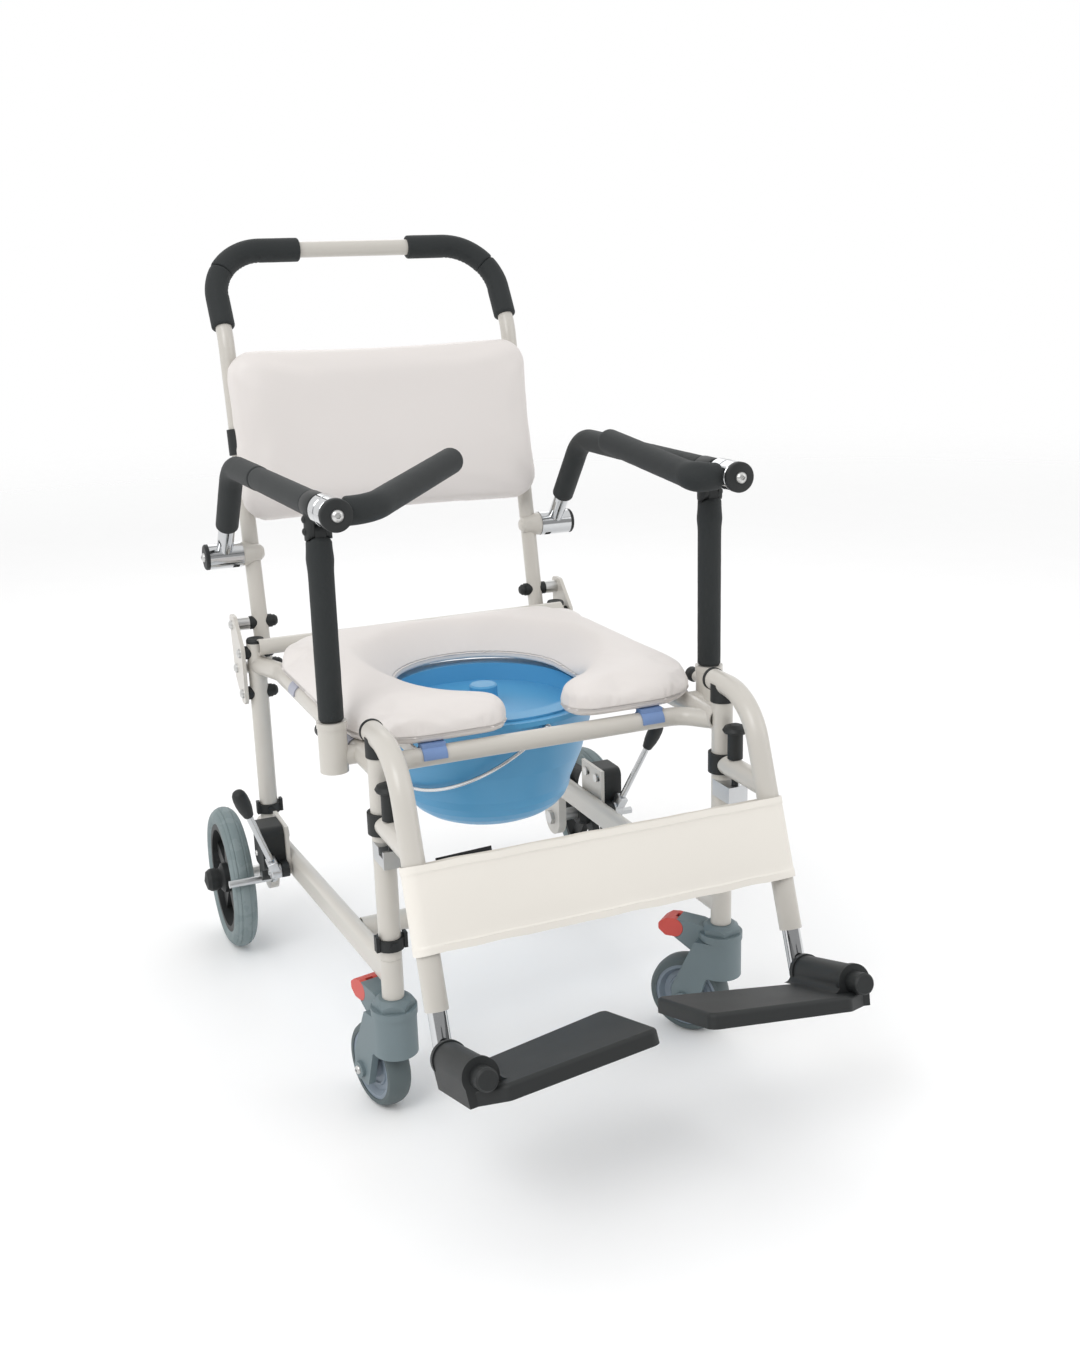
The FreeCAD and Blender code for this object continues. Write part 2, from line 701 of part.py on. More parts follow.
def wheel_axis(offset):
    """Point on the rear wheel's axis, measured outwards from the middle of the tyre."""
    return V(WHEEL_X + offset, AXLE_Y, AXLE_Z)


def rear_tyre():
    """Solid tyre with a round crown."""
    half = TYRE_WIDTH / 2
    low = TYRE_R - TYRE_SHOULDER
    profile = [wheel_axis(-half * 0.8) + Z * TYRE_BED_R, wheel_axis(half * 0.8) + Z * TYRE_BED_R,
               wheel_axis(half) + Z * low, wheel_axis(-half) + Z * low]
    crown = Part.Arc(profile[2], wheel_axis(0) + Z * TYRE_R, profile[3]).toShape()
    sides = [Part.LineSegment(a, b).toShape() for a, b in
             ((profile[3], profile[0]), (profile[0], profile[1]), (profile[1], profile[2]))]
    return Part.Face(Part.Wire(sides + [crown])).revolve(wheel_axis(0), X, 360)


def rear_rim():
    """Spoked rim with its hub and outer dome."""
    half = RIM_WIDTH / 2
    band = rod(wheel_axis(-half), wheel_axis(half), TYRE_BED_R)
    band = band.cut(rod(wheel_axis(-half), wheel_axis(half), TYRE_BED_R - RIM_BAND))
    hub_end = WHEEL_HUB_HALF + WHEEL_DOME_H
    hub = turned(wheel_axis(0), X, [(-WHEEL_HUB_HALF, 0), (-WHEEL_HUB_HALF, WHEEL_HUB_R * 0.8),
                                    (-half, WHEEL_HUB_R), (half, WHEEL_HUB_R),
                                    (WHEEL_HUB_HALF * 0.8, WHEEL_DOME_R * 0.9),
                                    (WHEEL_HUB_HALF, WHEEL_DOME_R * 0.9), (WHEEL_HUB_HALF, WHEEL_DOME_R),
                                    (WHEEL_HUB_HALF + WHEEL_DOME_H * 0.5, WHEEL_DOME_R),
                                    (WHEEL_HUB_HALF + WHEEL_DOME_H * 0.8, WHEEL_DOME_R * 0.8), (hub_end, 0)])
    spokes = []
    for index in range(SPOKES):
        web = box(wheel_axis(-SPOKE_DEPTH / 2) + V(0, -SPOKE_WIDTH / 2, WHEEL_HUB_R * 0.6),
                  wheel_axis(SPOKE_DEPTH / 2) + V(0, SPOKE_WIDTH / 2, TYRE_BED_R - RIM_BAND / 2))
        spokes.append(turn(web, wheel_axis(0), X, index * 360.0 / SPOKES))
    solid = fused(band, hub, *spokes)
    axle_end = WHEEL_HUB_HALF - POST_WALL
    return solid.cut(rod(wheel_axis(-WHEEL_HUB_HALF), wheel_axis(axle_end), AXLE_R + SLIDE_FIT))


# Casters, built trailing straight back and then swivelled to rest

def caster_centre():
    """Middle of the caster wheel before it is swivelled."""
    return V(FRONT_LEG_X, FRONT_LEG_Y + CASTER_TRAIL, CASTER_R)


def caster_half():
    """Half the width of the fork."""
    return CASTER_TREAD_WIDTH / 2 + CASTER_GAP + CASTER_CHEEK


def caster_side(outline, half):
    """Side outline of (distance behind the stem, height) corners, as wide as given about the stem."""
    corners = [V(FRONT_LEG_X - half, FRONT_LEG_Y + back, z) for back, z in outline]
    return rounded_outline(corners, CASTER_CORNER).extrude(X * (2 * half))


def pedal_pivot():
    """Hinge of the brake pedal at the end of its arm."""
    return V(FRONT_LEG_X, FRONT_LEG_Y + PEDAL_REACH, PEDAL_Z)


def caster_fork():
    """Moulded fork with its stem, hexagon top, collar, axle and pedal arm."""
    axis = V(FRONT_LEG_X, FRONT_LEG_Y, 0)
    top = FRONT_FOOT_Z - SEAT_GAP
    collar_top = top - CASTER_HEX_H
    body_top = collar_top - CASTER_COLLAR_H
    half = caster_half()
    stem = rod(axis + Z * body_top, axis + Z * (FRONT_FOOT_Z + STEM_LENGTH), STEM_R)
    hexagon = prism(axis + Z * collar_top, Z, CASTER_HEX, CASTER_HEX_H)
    wide = CASTER_HEX * 1.2
    crown = turned(axis + Z * collar_top, Z, [(0, 0), (0, wide), (CASTER_HEX_H * 0.4, wide),
                                              (CASTER_HEX_H, CASTER_HEX * 0.8), (CASTER_HEX_H, 0)])
    collar = rod(axis + Z * body_top, axis + Z * collar_top, half + CASTER_COLLAR_LIP)
    body = rod(axis + Z * CASTER_SKIRT_Z, axis + Z * body_top, half)
    wheel = caster_centre()
    heel = CASTER_TRAIL + CASTER_BOSS_R
    boss_low = wheel.z - CASTER_BOSS_R
    cheeks = caster_side([(0, body_top - WELD_OVERLAP), (half, body_top - WELD_OVERLAP),
                          (heel, wheel.z + CASTER_BOSS_R), (heel, boss_low),
                          (CASTER_TRAIL - CASTER_BOSS_R, boss_low),
                          (half * 0.4, CASTER_SKIRT_Z), (0, CASTER_SKIRT_Z)], half)
    boss = rod(wheel - X * half, wheel + X * half, CASTER_BOSS_R)
    caps = rod(wheel - X * (half + CASTER_CAP_H), wheel + X * (half + CASTER_CAP_H), CASTER_CAP_R)
    high = PEDAL_HEIGHT / 2
    arm = caster_side([(0, collar_top), (0, body_top - half), (half, body_top - half),
                       (PEDAL_REACH, PEDAL_Z - high), (PEDAL_REACH, PEDAL_Z + high),
                       (half, PEDAL_Z + high - PEDAL_ARM_DROP)], PEDAL_WIDTH / 2)
    pin = pedal_pivot()
    arm = arm.cut(rod(pin - X * PEDAL_WIDTH, pin + X * PEDAL_WIDTH, high + KNUCKLE_GAP))
    thick = X * (PEDAL_TONGUE_T / 2)
    tongue = fused(rod(pin - thick, pin + thick, PEDAL_TONGUE_R),
                   box(pin - thick - V(0, high * 1.4, PEDAL_TONGUE_R), pin + thick + Z * PEDAL_TONGUE_R))
    arm = fused(arm, tongue).cut(rod(pin - thick, pin + thick, PEDAL_PIN_R + SLIDE_FIT))
    room = X * (half - CASTER_CHEEK)
    well = rod(wheel - room, wheel + room, CASTER_R + CASTER_GAP)
    arch = box(V(FRONT_LEG_X - CASTER_ARCH_HALF, FRONT_LEG_Y - half * 2, 0),
               V(FRONT_LEG_X + CASTER_ARCH_HALF, FRONT_LEG_Y, CASTER_ARCH_TOP))
    solid = fused(body, cheeks, boss, caps, collar, arm, hexagon.common(crown))
    solid = solid.cut(well).cut(arch)
    post_room = rod(axis + Z * top, axis + Z * (top + PEDAL_HEIGHT), POST_R * 2)
    return fused(solid.cut(post_room), stem, rod(wheel - X * half, wheel + X * half, CASTER_AXLE_R))


def caster_wheel():
    """Caster hub and tread, as two solids."""
    centre = caster_centre()
    half = CASTER_TREAD_WIDTH / 2
    bed = CASTER_R - CASTER_TREAD_DEPTH
    edge = CASTER_R - CASTER_TREAD_EDGE
    crown = CASTER_R - CASTER_TREAD_CROWN
    tread = turned(centre, X, [(-half, bed), (-half, edge), (-half * 0.55, crown), (0, CASTER_R),
                               (half * 0.55, crown), (half, edge), (half, bed)])
    bore = CASTER_AXLE_R + SLIDE_FIT
    side = [(half * 0.9, bed), (half * 0.9, bed - CASTER_DISH), (half * 0.45, bed - CASTER_DISH * 2),
            (half * 0.45, CASTER_HUB_FOOT_R), (half, CASTER_HUB_R), (half, bore)]
    hub = turned(centre, X, [(-along, radius) for along, radius in reversed(side)] + side)
    return [hub, tread]


def caster_pedal():
    """Foot pedal that locks the caster, over the tongue of its arm."""
    pin = pedal_pivot()
    half = PEDAL_WIDTH / 2
    high = PEDAL_HEIGHT / 2
    tip = PEDAL_REACH + PEDAL_LENGTH
    body = caster_side([(PEDAL_REACH, PEDAL_Z + high), (PEDAL_REACH + PEDAL_LENGTH * 0.5, PEDAL_Z + high * 0.9),
                        (tip, PEDAL_Z + high * 0.3), (tip, PEDAL_Z - high * 0.4),
                        (tip - PEDAL_LENGTH * 0.45, PEDAL_Z - high), (PEDAL_REACH, PEDAL_Z - high)], half)
    body = fused(body, rod(pin - X * half, pin + X * half, high))
    room = X * (PEDAL_TONGUE_T / 2 + SEAT_GAP)
    clear = PEDAL_TONGUE_R + SEAT_GAP * 2
    body = body.cut(rod(pin - room, pin + room, clear))
    body = body.cut(box(pin - room - V(0, high * 2, high * 2), pin + room + Z * (high * 2)))
    return fused(body, rod(pin - X * half, pin + X * half, PEDAL_PIN_R))


# Seat frame

def front_leg():
    """Front leg tube, slipped over its lower post."""
    low = V(FRONT_LEG_X, FRONT_LEG_Y, FRONT_SHOULDER_Z + SEAT_GAP)
    return tube(low, V(low.x, low.y, LEG_TOP_Z), POST_R, POST_R - POST_WALL)


def rear_post():
    """Rear post tube, slipped over its lower post."""
    low = V(REAR_POST_X, REAR_POST_Y, REAR_SHOULDER_Z + SEAT_GAP)
    return tube(low, V(low.x, low.y, REAR_POST_TOP_Z), POST_R, POST_R - POST_WALL)


def leg_envelope():
    """Outside of the front leg, for coping the tubes that meet it."""
    foot = V(FRONT_LEG_X, FRONT_LEG_Y, FRONT_SHOULDER_Z)
    return rod(foot, V(foot.x, foot.y, LEG_TOP_Z), POST_R)


def post_envelope():
    """Outside of the rear post, for coping the tubes that meet it."""
    foot = V(REAR_POST_X, REAR_POST_Y, REAR_SHOULDER_Z)
    return rod(foot, V(foot.x, foot.y, REAR_POST_TOP_Z), POST_R)


def seat_rail_points():
    """Route of the side rail from the front leg to the rear post."""
    return [V(SEAT_RAIL_X, FRONT_LEG_Y, SEAT_RAIL_Z), V(SEAT_RAIL_X, SEAT_RAIL_STRAIGHT_END, SEAT_RAIL_Z),
            V(REAR_POST_X, REAR_POST_Y, SEAT_RAIL_Z)]


def seat_rail():
    """Side rail under the seat pad, coped into the leg and the post."""
    rail = bent_tube(seat_rail_points(), [SEAT_RAIL_BEND], POST_R, BACK_WALL)
    return rail.cut(leg_envelope()).cut(post_envelope())


def seat_rail_envelope():
    """Outside of the side rail."""
    return bent_rod(seat_rail_points(), [SEAT_RAIL_BEND], POST_R)


def front_tube_points():
    """Route of the front cross tube from the left leg to the right leg."""
    left = [V(FRONT_LEG_X, FRONT_LEG_Y, FRONT_TUBE_Z), V(FRONT_TUBE_STRAIGHT, FRONT_TUBE_Y, FRONT_TUBE_Z)]
    return left + [V(-point.x, point.y, point.z) for point in reversed(left)]


def front_seat_tube():
    """Cross tube under the front of the pad, its ends bent forward into the legs."""
    solid = bent_tube(front_tube_points(), [FRONT_TUBE_BEND] * 2, BACK_R, BACK_WALL)
    for cutter in both(leg_envelope()) + both(seat_rail_envelope()):
        solid = solid.cut(cutter)
    return max(solid.Solids, key=lambda piece: piece.Volume)


def rear_cross_tube():
    """Cross tube behind the pad, between the rear posts."""
    centre = V(0, REAR_CROSS_Y, REAR_CROSS_Z)
    reach = REAR_POST_X
    solid = tube(centre - X * reach, centre + X * reach, BACK_R, BACK_R - BACK_WALL)
    for cutter in both(post_envelope()) + both(post_cap()):
        solid = solid.cut(cutter)
    return max(solid.Solids, key=lambda piece: piece.Volume)


def leg_collar(base):
    """Snap collar round the bottom of a seat leg, with an ear each side and a button in front."""
    inside = rod(base, base + Z * COLLAR_EAR_H, POST_R)
    ears = []
    for side in (-1, 1):
        root = base + X * side * COLLAR_R
        ears.append(box(root - V(COLLAR_EAR_T, COLLAR_EAR_WIDTH, 0), root + V(COLLAR_EAR_T, 0, COLLAR_EAR_H)))
    button = base + Z * (COLLAR_H / 2)
    button = rod(button, button - Y * (COLLAR_R + COLLAR_EAR_T / 2), COLLAR_BUTTON_R)
    return fused(rod(base, base + Z * COLLAR_H, COLLAR_R), button, *ears).cut(inside)


def socket_at(z):
    """Point on the axis of the arm post and its socket."""
    return V(arm_at(ARM_CLAMP_Y).x, ARM_CLAMP_Y, z)


def arm_socket():
    """Blind socket for the arm post, on a short strut from the side rail."""
    foot = socket_at(SOCKET_BOTTOM)
    head = socket_at(SOCKET_TOP)
    body = rod(foot, head, SOCKET_R)
    rim = rod(head - Z * SOCKET_RIM_H, head, SOCKET_R + SOCKET_RIM)
    strut = rod(V(SEAT_RAIL_X, ARM_CLAMP_Y, SEAT_RAIL_Z), socket_at(SEAT_RAIL_Z), BACK_R)
    nose = socket_at(PLUNGER_Z)
    nose_end = nose + Y * (SOCKET_R + PLUNGER_BODY_LENGTH)
    plunger_body = rod(nose, nose_end, PLUNGER_BODY_R)
    solid = fused(body, rim, strut.cut(seat_rail_envelope()), plunger_body)
    solid = solid.cut(rod(foot + Z * SOCKET_FLOOR, head, BACK_R + SOCKET_PLAY))
    return solid.cut(rod(nose, nose_end, PLUNGER_PIN_R + SLIDE_FIT))


def arm_plunger():
    """Spring plunger that locks the arm post in its socket."""
    tip = socket_at(PLUNGER_Z) + Y * (BACK_R + SOCKET_PLAY)
    neck = socket_at(PLUNGER_Z) + Y * (SOCKET_R + PLUNGER_BODY_LENGTH + SEAT_GAP)
    length = PLUNGER_KNOB_LENGTH
    knob = turned(neck, Y, [(0, 0), (0, PLUNGER_KNOB_R * 0.8), (length * 0.3, PLUNGER_KNOB_R),
                            (length * 0.85, PLUNGER_KNOB_R), (length, PLUNGER_KNOB_R * 0.75), (length, 0)])
    return fused(rod(tip, neck + Y * WELD_OVERLAP, PLUNGER_PIN_R), knob)


def pan_runner():
    """Angle strip that the pan's flange slides on, from the front tube to the rear cross tube."""
    ledge_top = PAN_RIM_Z - PAN_FLANGE_T - SEAT_GAP
    inner = PAN_FLANGE_R + SEAT_GAP
    floor = ledge_top - RUNNER_T
    web = box(V(inner, FRONT_TUBE_Y, floor), V(inner + RUNNER_T, REAR_CROSS_Y, floor + RUNNER_HEIGHT))
    ledge = box(V(inner - RUNNER_LEDGE, FRONT_TUBE_Y + BACK_R * 3, floor),
                V(inner + RUNNER_T, REAR_CROSS_Y - BACK_R * 2, ledge_top))
    hanger = box(V(inner, REAR_CROSS_Y - BACK_R * 2, floor), V(inner + RUNNER_T, REAR_CROSS_Y, REAR_CROSS_Z))
    solid = fused(web, ledge, hanger)
    rear = V(0, REAR_CROSS_Y, REAR_CROSS_Z)
    solid = solid.cut(rod(rear, rear + X * (inner + RUNNER_T * 2), BACK_R))
    solid = solid.cut(bent_rod(front_tube_points(), [FRONT_TUBE_BEND] * 2, BACK_R))
    return max(solid.Solids, key=lambda piece: piece.Volume)


# Backrest

def back_points():
    """Route of the backrest tube, from the left foot over the push handle to the right foot."""
    left = [V(BACK_X, back_y(BACK_FOOT_Z), BACK_FOOT_Z), V(BACK_X, back_y(HANDLE_KNEE_Z), HANDLE_KNEE_Z),
            V(BACK_X, HANDLE_Y, HANDLE_Z)]
    return left + [V(-point.x, point.y, point.z) for point in reversed(left)]


def back_bends():
    """Bend radii along the backrest tube."""
    return [HANDLE_KNEE_BEND, HANDLE_CORNER_BEND, HANDLE_CORNER_BEND, HANDLE_KNEE_BEND]


def backrest_tube():
    """Backrest frame and push handle, one bent tube with its bolt holes."""
    solid = bent_tube(back_points(), back_bends(), BACK_R, BACK_WALL)
    for z in BRACKET_BACK_BOLTS:
        hole = rod(V(0, back_y(z), z), V(BACK_X * 2, back_y(z), z), BRACKET_BOLT_R)
        solid = solid.cut(hole).cut(mirrored(hole))
    return solid


def push_grip():
    """Foam grip round one corner of the push handle."""
    points = back_points()
    start = points[1] + (points[2] - points[1]) * PUSH_GRIP_START
    route = [start, points[2], V(PUSH_GRIP_END_X, HANDLE_Y, HANDLE_Z)]
    return bent_tube(route, [HANDLE_CORNER_BEND], PUSH_GRIP_R, PUSH_GRIP_R - BACK_R)


def pad_section(inset, depth):
    """Outline of the backrest pad at one depth, with its sides drawn in between the corners."""
    half = V(PAD_WIDTH / 2 - inset, 0, PAD_HEIGHT / 2 - inset)
    radius = PAD_CORNER - inset * 0.4
    edges = []
    corners = [V(-1, 0, -1), V(1, 0, -1), V(1, 0, 1), V(-1, 0, 1)]
    spots = [V(sign.x * half.x, depth, sign.z * half.z) for sign in corners]
    rounds = [corner_arc(spots[i - 1], spots[i], spots[(i + 1) % 4], radius) for i in range(4)]
    for index, (enter, arc, leave) in enumerate(rounds):
        target = rounds[(index + 1) % 4][0]
        middle = (leave + target) * 0.5
        middle = middle - unit(V(middle.x, 0, middle.z)) * PAD_DRAW_IN
        edges.append(arc)
        edges.append(Part.Arc(leave, middle, target).toShape())
    return Part.Wire(edges)


def backrest_pad():
    """Crowned backrest cushion, leaning with the tube in front of it."""
    steps = [(0.0, 0.18), (0.06, 0.05), (0.25, 0.0), (0.60, 0.0), (0.78, 0.09), (0.90, 0.27), (0.97, 0.59),
             (1.0, 1.05)]
    wires = [pad_section(inset * PAD_THICK, -share * PAD_THICK) for share, inset in steps]
    pad = Part.makeLoft(wires, True, True)
    pad = turn(pad, V(0, 0, 0), X, -BACK_LEAN)
    away = (BACK_R + SEAT_GAP) / math.cos(math.radians(BACK_LEAN))
    pad.translate(V(0, back_y(PAD_CENTRE_Z) - away, PAD_CENTRE_Z))
    return pad


def pad_clip():
    """Clip that holds the edge of the backrest pad to the tube."""
    middle = PAD_CENTRE_Z - PAD_CLIP_DROP
    low = V(BACK_X, back_y(middle - PAD_CLIP_HALF), middle - PAD_CLIP_HALF)
    high = V(BACK_X, back_y(middle + PAD_CLIP_HALF), middle + PAD_CLIP_HALF)
    return tube(low, high, BACK_R + PAD_CLIP_WALL, BACK_R).cut(backrest_pad())


# Back brackets

def bracket_x():
    """Inner face of the bracket plate."""
    return REAR_POST_X + POST_R + SADDLE_T


def bracket_bolt_points():
    """Bolt centres: two on the backrest tube, then two on the rear post."""
    back = [V(BACK_X, back_y(z), z) for z in BRACKET_BACK_BOLTS]
    return back + [V(REAR_POST_X, REAR_POST_Y, z) for z in BRACKET_POST_BOLTS]


def bracket_plate():
    """Plate outside the rear post that carries the backrest tube."""
    top, rear, front, foot = bracket_bolt_points()
    m = BRACKET_MARGIN
    x = bracket_x()
    corners = [V(x, top.y - m, top.z + m), V(x, top.y + m, top.z + m), V(x, rear.y + m, rear.z - m),
               V(x, foot.y + m * 0.6, foot.z - m), V(x, foot.y - m * 0.9, foot.z - m),
               V(x, front.y - m * 0.9, front.z + m * 0.6)]
    plate = rounded_outline(corners, BRACKET_CORNER).extrude(X * BRACKET_T)
    for bolt in bracket_bolt_points():
        plate = plate.cut(rod(V(x, bolt.y, bolt.z), V(x + BRACKET_T, bolt.y, bolt.z), BRACKET_BOLT_R))
    return plate


def bracket_bolts():
    """Four through bolts with their heads, and the spacers of the backrest bolts."""
    pieces = []
    outer = bracket_x() + BRACKET_T
    for index, bolt in enumerate(bracket_bolt_points()):
        on_back = index < len(BRACKET_BACK_BOLTS)
        radius = BACK_R if on_back else POST_R
        inner = bolt.x - radius - SADDLE_T
        shank = rod(V(inner, bolt.y, bolt.z), V(outer, bolt.y, bolt.z), BRACKET_BOLT_R)
        head = turned(V(outer, bolt.y, bolt.z), X, [(0, 0), (0, BOLT_HEAD_R),
                                                    (BOLT_HEAD_H * 0.45, BOLT_HEAD_R * 0.95),
                                                    (BOLT_HEAD_H * 0.9, BOLT_HEAD_R * 0.6), (BOLT_HEAD_H, 0)])
        pieces.append(fused(shank, head))
        if on_back:
            near = V(bolt.x + radius + SADDLE_T, bolt.y, bolt.z)
            pieces.append(tube(near, V(bracket_x(), bolt.y, bolt.z), SADDLE_R, BRACKET_BOLT_R))
    return pieces


def bracket_saddles():
    """Black saddle washers between the bolts and the round tubes, and the dome nuts."""
    pieces = []
    for index, bolt in enumerate(bracket_bolt_points()):
        on_back = index < len(BRACKET_BACK_BOLTS)
        radius = BACK_R if on_back else POST_R
        lean = V(0, math.tan(math.radians(BACK_LEAN)), 1) if on_back else Z
        inside = rod(bolt - lean * SADDLE_R * 2, bolt + lean * SADDLE_R * 2, radius)
        nut = bolt - X * (radius + SADDLE_T)
        pieces.append(turned(nut, X * -1, [(0, 0), (0, DOME_NUT_R), (DOME_NUT_H * 0.45, DOME_NUT_R),
                                           (DOME_NUT_H * 0.85, DOME_NUT_R * 0.65), (DOME_NUT_H, 0)]))
        for side in (-1, 1):
            washer = tube(bolt, bolt + X * side * (radius + SADDLE_T), SADDLE_R, BRACKET_BOLT_R).cut(inside)
            pieces.append(max(washer.Solids, key=lambda piece: piece.Volume))
    return pieces


def post_cap():
    """Ribbed plug in the open top of a rear post."""
    top = V(REAR_POST_X, REAR_POST_Y, REAR_POST_TOP_Z)
    bore = POST_R - POST_WALL
    return turned(top, Z, [(-POST_CAP_H, 0), (-POST_CAP_H, bore), (0, bore), (0, POST_R),
                           (POST_CAP_H * 0.6, POST_R), (POST_CAP_H, POST_R - CAP_EDGE), (POST_CAP_H, 0)])


# Arms

def arm_axis(x):
    """Point on the arm's hinge axis."""
    return V(x, ARM_PIVOT_Y, ARM_PIVOT_Z)


def arm_boss():
    """Flared boss welded through the backrest tube, with the pin that the arm turns on."""
    end = ARM_SLEEVE_START_X - SEAT_GAP
    far = ARM_SLEEVE_START_X + ARM_SLEEVE_LENGTH + SEAT_GAP
    back = BACK_X - BACK_R
    flare = turned(arm_axis(0), X, [(back - ARM_BOSS_TIP, 0), (back - ARM_BOSS_TIP * 0.8, ARM_BOSS_BACK_R * 0.65),
                                    (back, ARM_BOSS_BACK_R), (BACK_X, ARM_BOSS_NECK_R),
                                    (end - CAP_EDGE * 2, ARM_BOSS_R), (end, ARM_BOSS_R), (end, 0)])
    route = back_points()
    flare = flare.cut(rod(route[0], route[1], BACK_R))
    pin = rod(arm_axis(end), arm_axis(far), ARM_PIN_R)
    pieces = sorted(flare.Solids, key=lambda piece: piece.Volume)
    return [fused(pieces[-1], pin)] + pieces[:-1]


def arm_end_cap():
    """Black cap that keeps the arm on its pin."""
    far = ARM_SLEEVE_START_X + ARM_SLEEVE_LENGTH + SEAT_GAP
    return turned(arm_axis(far), X, [(0, 0), (0, ARM_SLEEVE_R), (ARM_CAP_H - CAP_EDGE, ARM_SLEEVE_R),
                                     (ARM_CAP_H, ARM_SLEEVE_R - CAP_EDGE), (ARM_CAP_H, 0)])


def arm_points():
    """Route of the arm tube, from its hinge forward to the front cap."""
    return [arm_axis(ARM_REAR_X), V(ARM_REAR_X, ARM_CORNER_Y, ARM_Z), V(ARM_FRONT_X, ARM_FRONT_Y, ARM_Z)]


def arm_at(y):
    """Point on the straight run of the arm at a given Y."""
    corner, front = arm_points()[1:]
    return corner + (front - corner) * ((y - corner.y) / (front.y - corner.y))


def arm_tube():
    """Chrome arm: slotted hinge sleeve, bent tube, front hub and the tongue of the safety bar."""
    sleeve = rod(arm_axis(ARM_SLEEVE_START_X), arm_axis(ARM_SLEEVE_START_X + ARM_SLEEVE_LENGTH), ARM_SLEEVE_R)
    slot = arm_axis(ARM_SLEEVE_START_X + ARM_SLOT_OFFSET)
    slot = box(slot - V(0, ARM_SLOT_WIDTH / 2, ARM_SLEEVE_R * 2), slot + V(ARM_SLOT_LENGTH, ARM_SLOT_WIDTH / 2, 0))
    slot = turn(slot, arm_axis(0), X, ARM_SLOT_TURN)
    hub_front = ARM_FRONT_Y + ARM_DISC_H
    hub = rod(arm_at(hub_front), arm_at(hub_front + ARM_HUB_LENGTH), ARM_HUB_R)
    eye = V(BAR_PIVOT_X, BAR_PIVOT_Y, ARM_Z)
    half = Z * (BAR_TONGUE_T / 2)
    tongue = fused(rod(eye - half, eye + half, BAR_EYE_R),
                   box(eye - half - Y * BAR_EYE_R, arm_at(BAR_PIVOT_Y) + Y * BAR_EYE_R + half))
    points = arm_points()
    points[2] = arm_at(hub_front)
    solid = fused(bent_rod(points, [ARM_BEND], BACK_R), sleeve.cut(slot), hub, tongue)
    solid = solid.cut(bent_rod(points, [ARM_BEND], BACK_R - BACK_WALL))
    solid = solid.cut(rod(eye - half, eye + half, BAR_PIN_R + SLIDE_FIT))
    return solid.cut(rod(arm_axis(0), arm_axis(ARM_REAR_X * 2), ARM_PIN_R + SLIDE_FIT))


def arm_grip():
    """Foam round the arm from above the hinge to the clamp."""
    points = arm_points()
    start = points[0] + unit(points[1] - points[0]) * ARM_FOAM_START
    end = arm_at(ARM_CLAMP_Y + ARM_CLAMP_WIDTH / 2)
    return bent_tube([start, points[1], end], [ARM_BEND], GRIP_R, GRIP_R - BACK_R)


def post_pivot():
    """Bolt that joins the post to the arm's clamp."""
    return arm_at(ARM_CLAMP_Y) - Z * POST_PIVOT_DROP


def arm_clamp():
    """Black clamp with two ears for the post, and the front disc with its screw."""
    half = ARM_CLAMP_WIDTH / 2
    ring = tube(arm_at(ARM_CLAMP_Y + half), arm_at(ARM_CLAMP_Y - half), ARM_CLAMP_R, BACK_R)
    pivot = post_pivot()
    reach = X * ARM_CLAMP_R
    ear_r = POST_PIN_R * 2.4
    ears = fused(rod(pivot - reach, pivot + reach, ear_r),
                 box(pivot - reach - Y * ear_r, pivot + reach + Y * ear_r + Z * POST_PIVOT_DROP))
    ears = ears.cut(rod(arm_at(ARM_CLAMP_Y + half), arm_at(ARM_CLAMP_Y - half), BACK_R))
    clamp = fused(ring, ears)
    gap = X * (POST_TONGUE_T / 2 + SEAT_GAP)
    slot_r = ear_r + POST_PIN_R
    clamp = clamp.cut(rod(pivot - gap, pivot + gap, slot_r))
    clamp = clamp.cut(box(pivot - gap - V(0, slot_r, slot_r), pivot + gap + Y * slot_r))
    clamp = fused(clamp, rod(pivot - reach, pivot + reach, POST_PIN_R))
    disc = turned(arm_at(ARM_FRONT_Y + ARM_DISC_H), arm_at(ARM_FRONT_Y) - arm_at(ARM_FRONT_Y + ARM_DISC_H),
                  [(0, 0), (0, ARM_DISC_R), (ARM_DISC_H - CAP_EDGE, ARM_DISC_R),
                   (ARM_DISC_H, ARM_DISC_R - CAP_EDGE), (ARM_DISC_H, 0)])
    return [clamp, disc]


def arm_post():
    """Front post of the arm: tongue, tube and foam."""
    pivot = post_pivot()
    foot = V(pivot.x, pivot.y, SOCKET_TOP - POST_INSERT)
    shoulder = V(pivot.x, pivot.y, POST_FOAM_TOP)
    half = X * (POST_TONGUE_T / 2)
    eye_r = POST_PIN_R * 2.4
    tongue = fused(rod(pivot - half, pivot + half, eye_r),
                   box(V(pivot.x, pivot.y - eye_r, POST_FOAM_TOP - eye_r) - half, pivot + half + Y * eye_r))
    post = fused(rod(foot, shoulder, BACK_R), tongue)
    post = post.cut(rod(pivot - half, pivot + half, POST_PIN_R + SLIDE_FIT))
    foam = tube(V(foot.x, foot.y, POST_FOAM_BOTTOM), shoulder, POST_GRIP_R, BACK_R)
    return [post, foam.cut(post)]


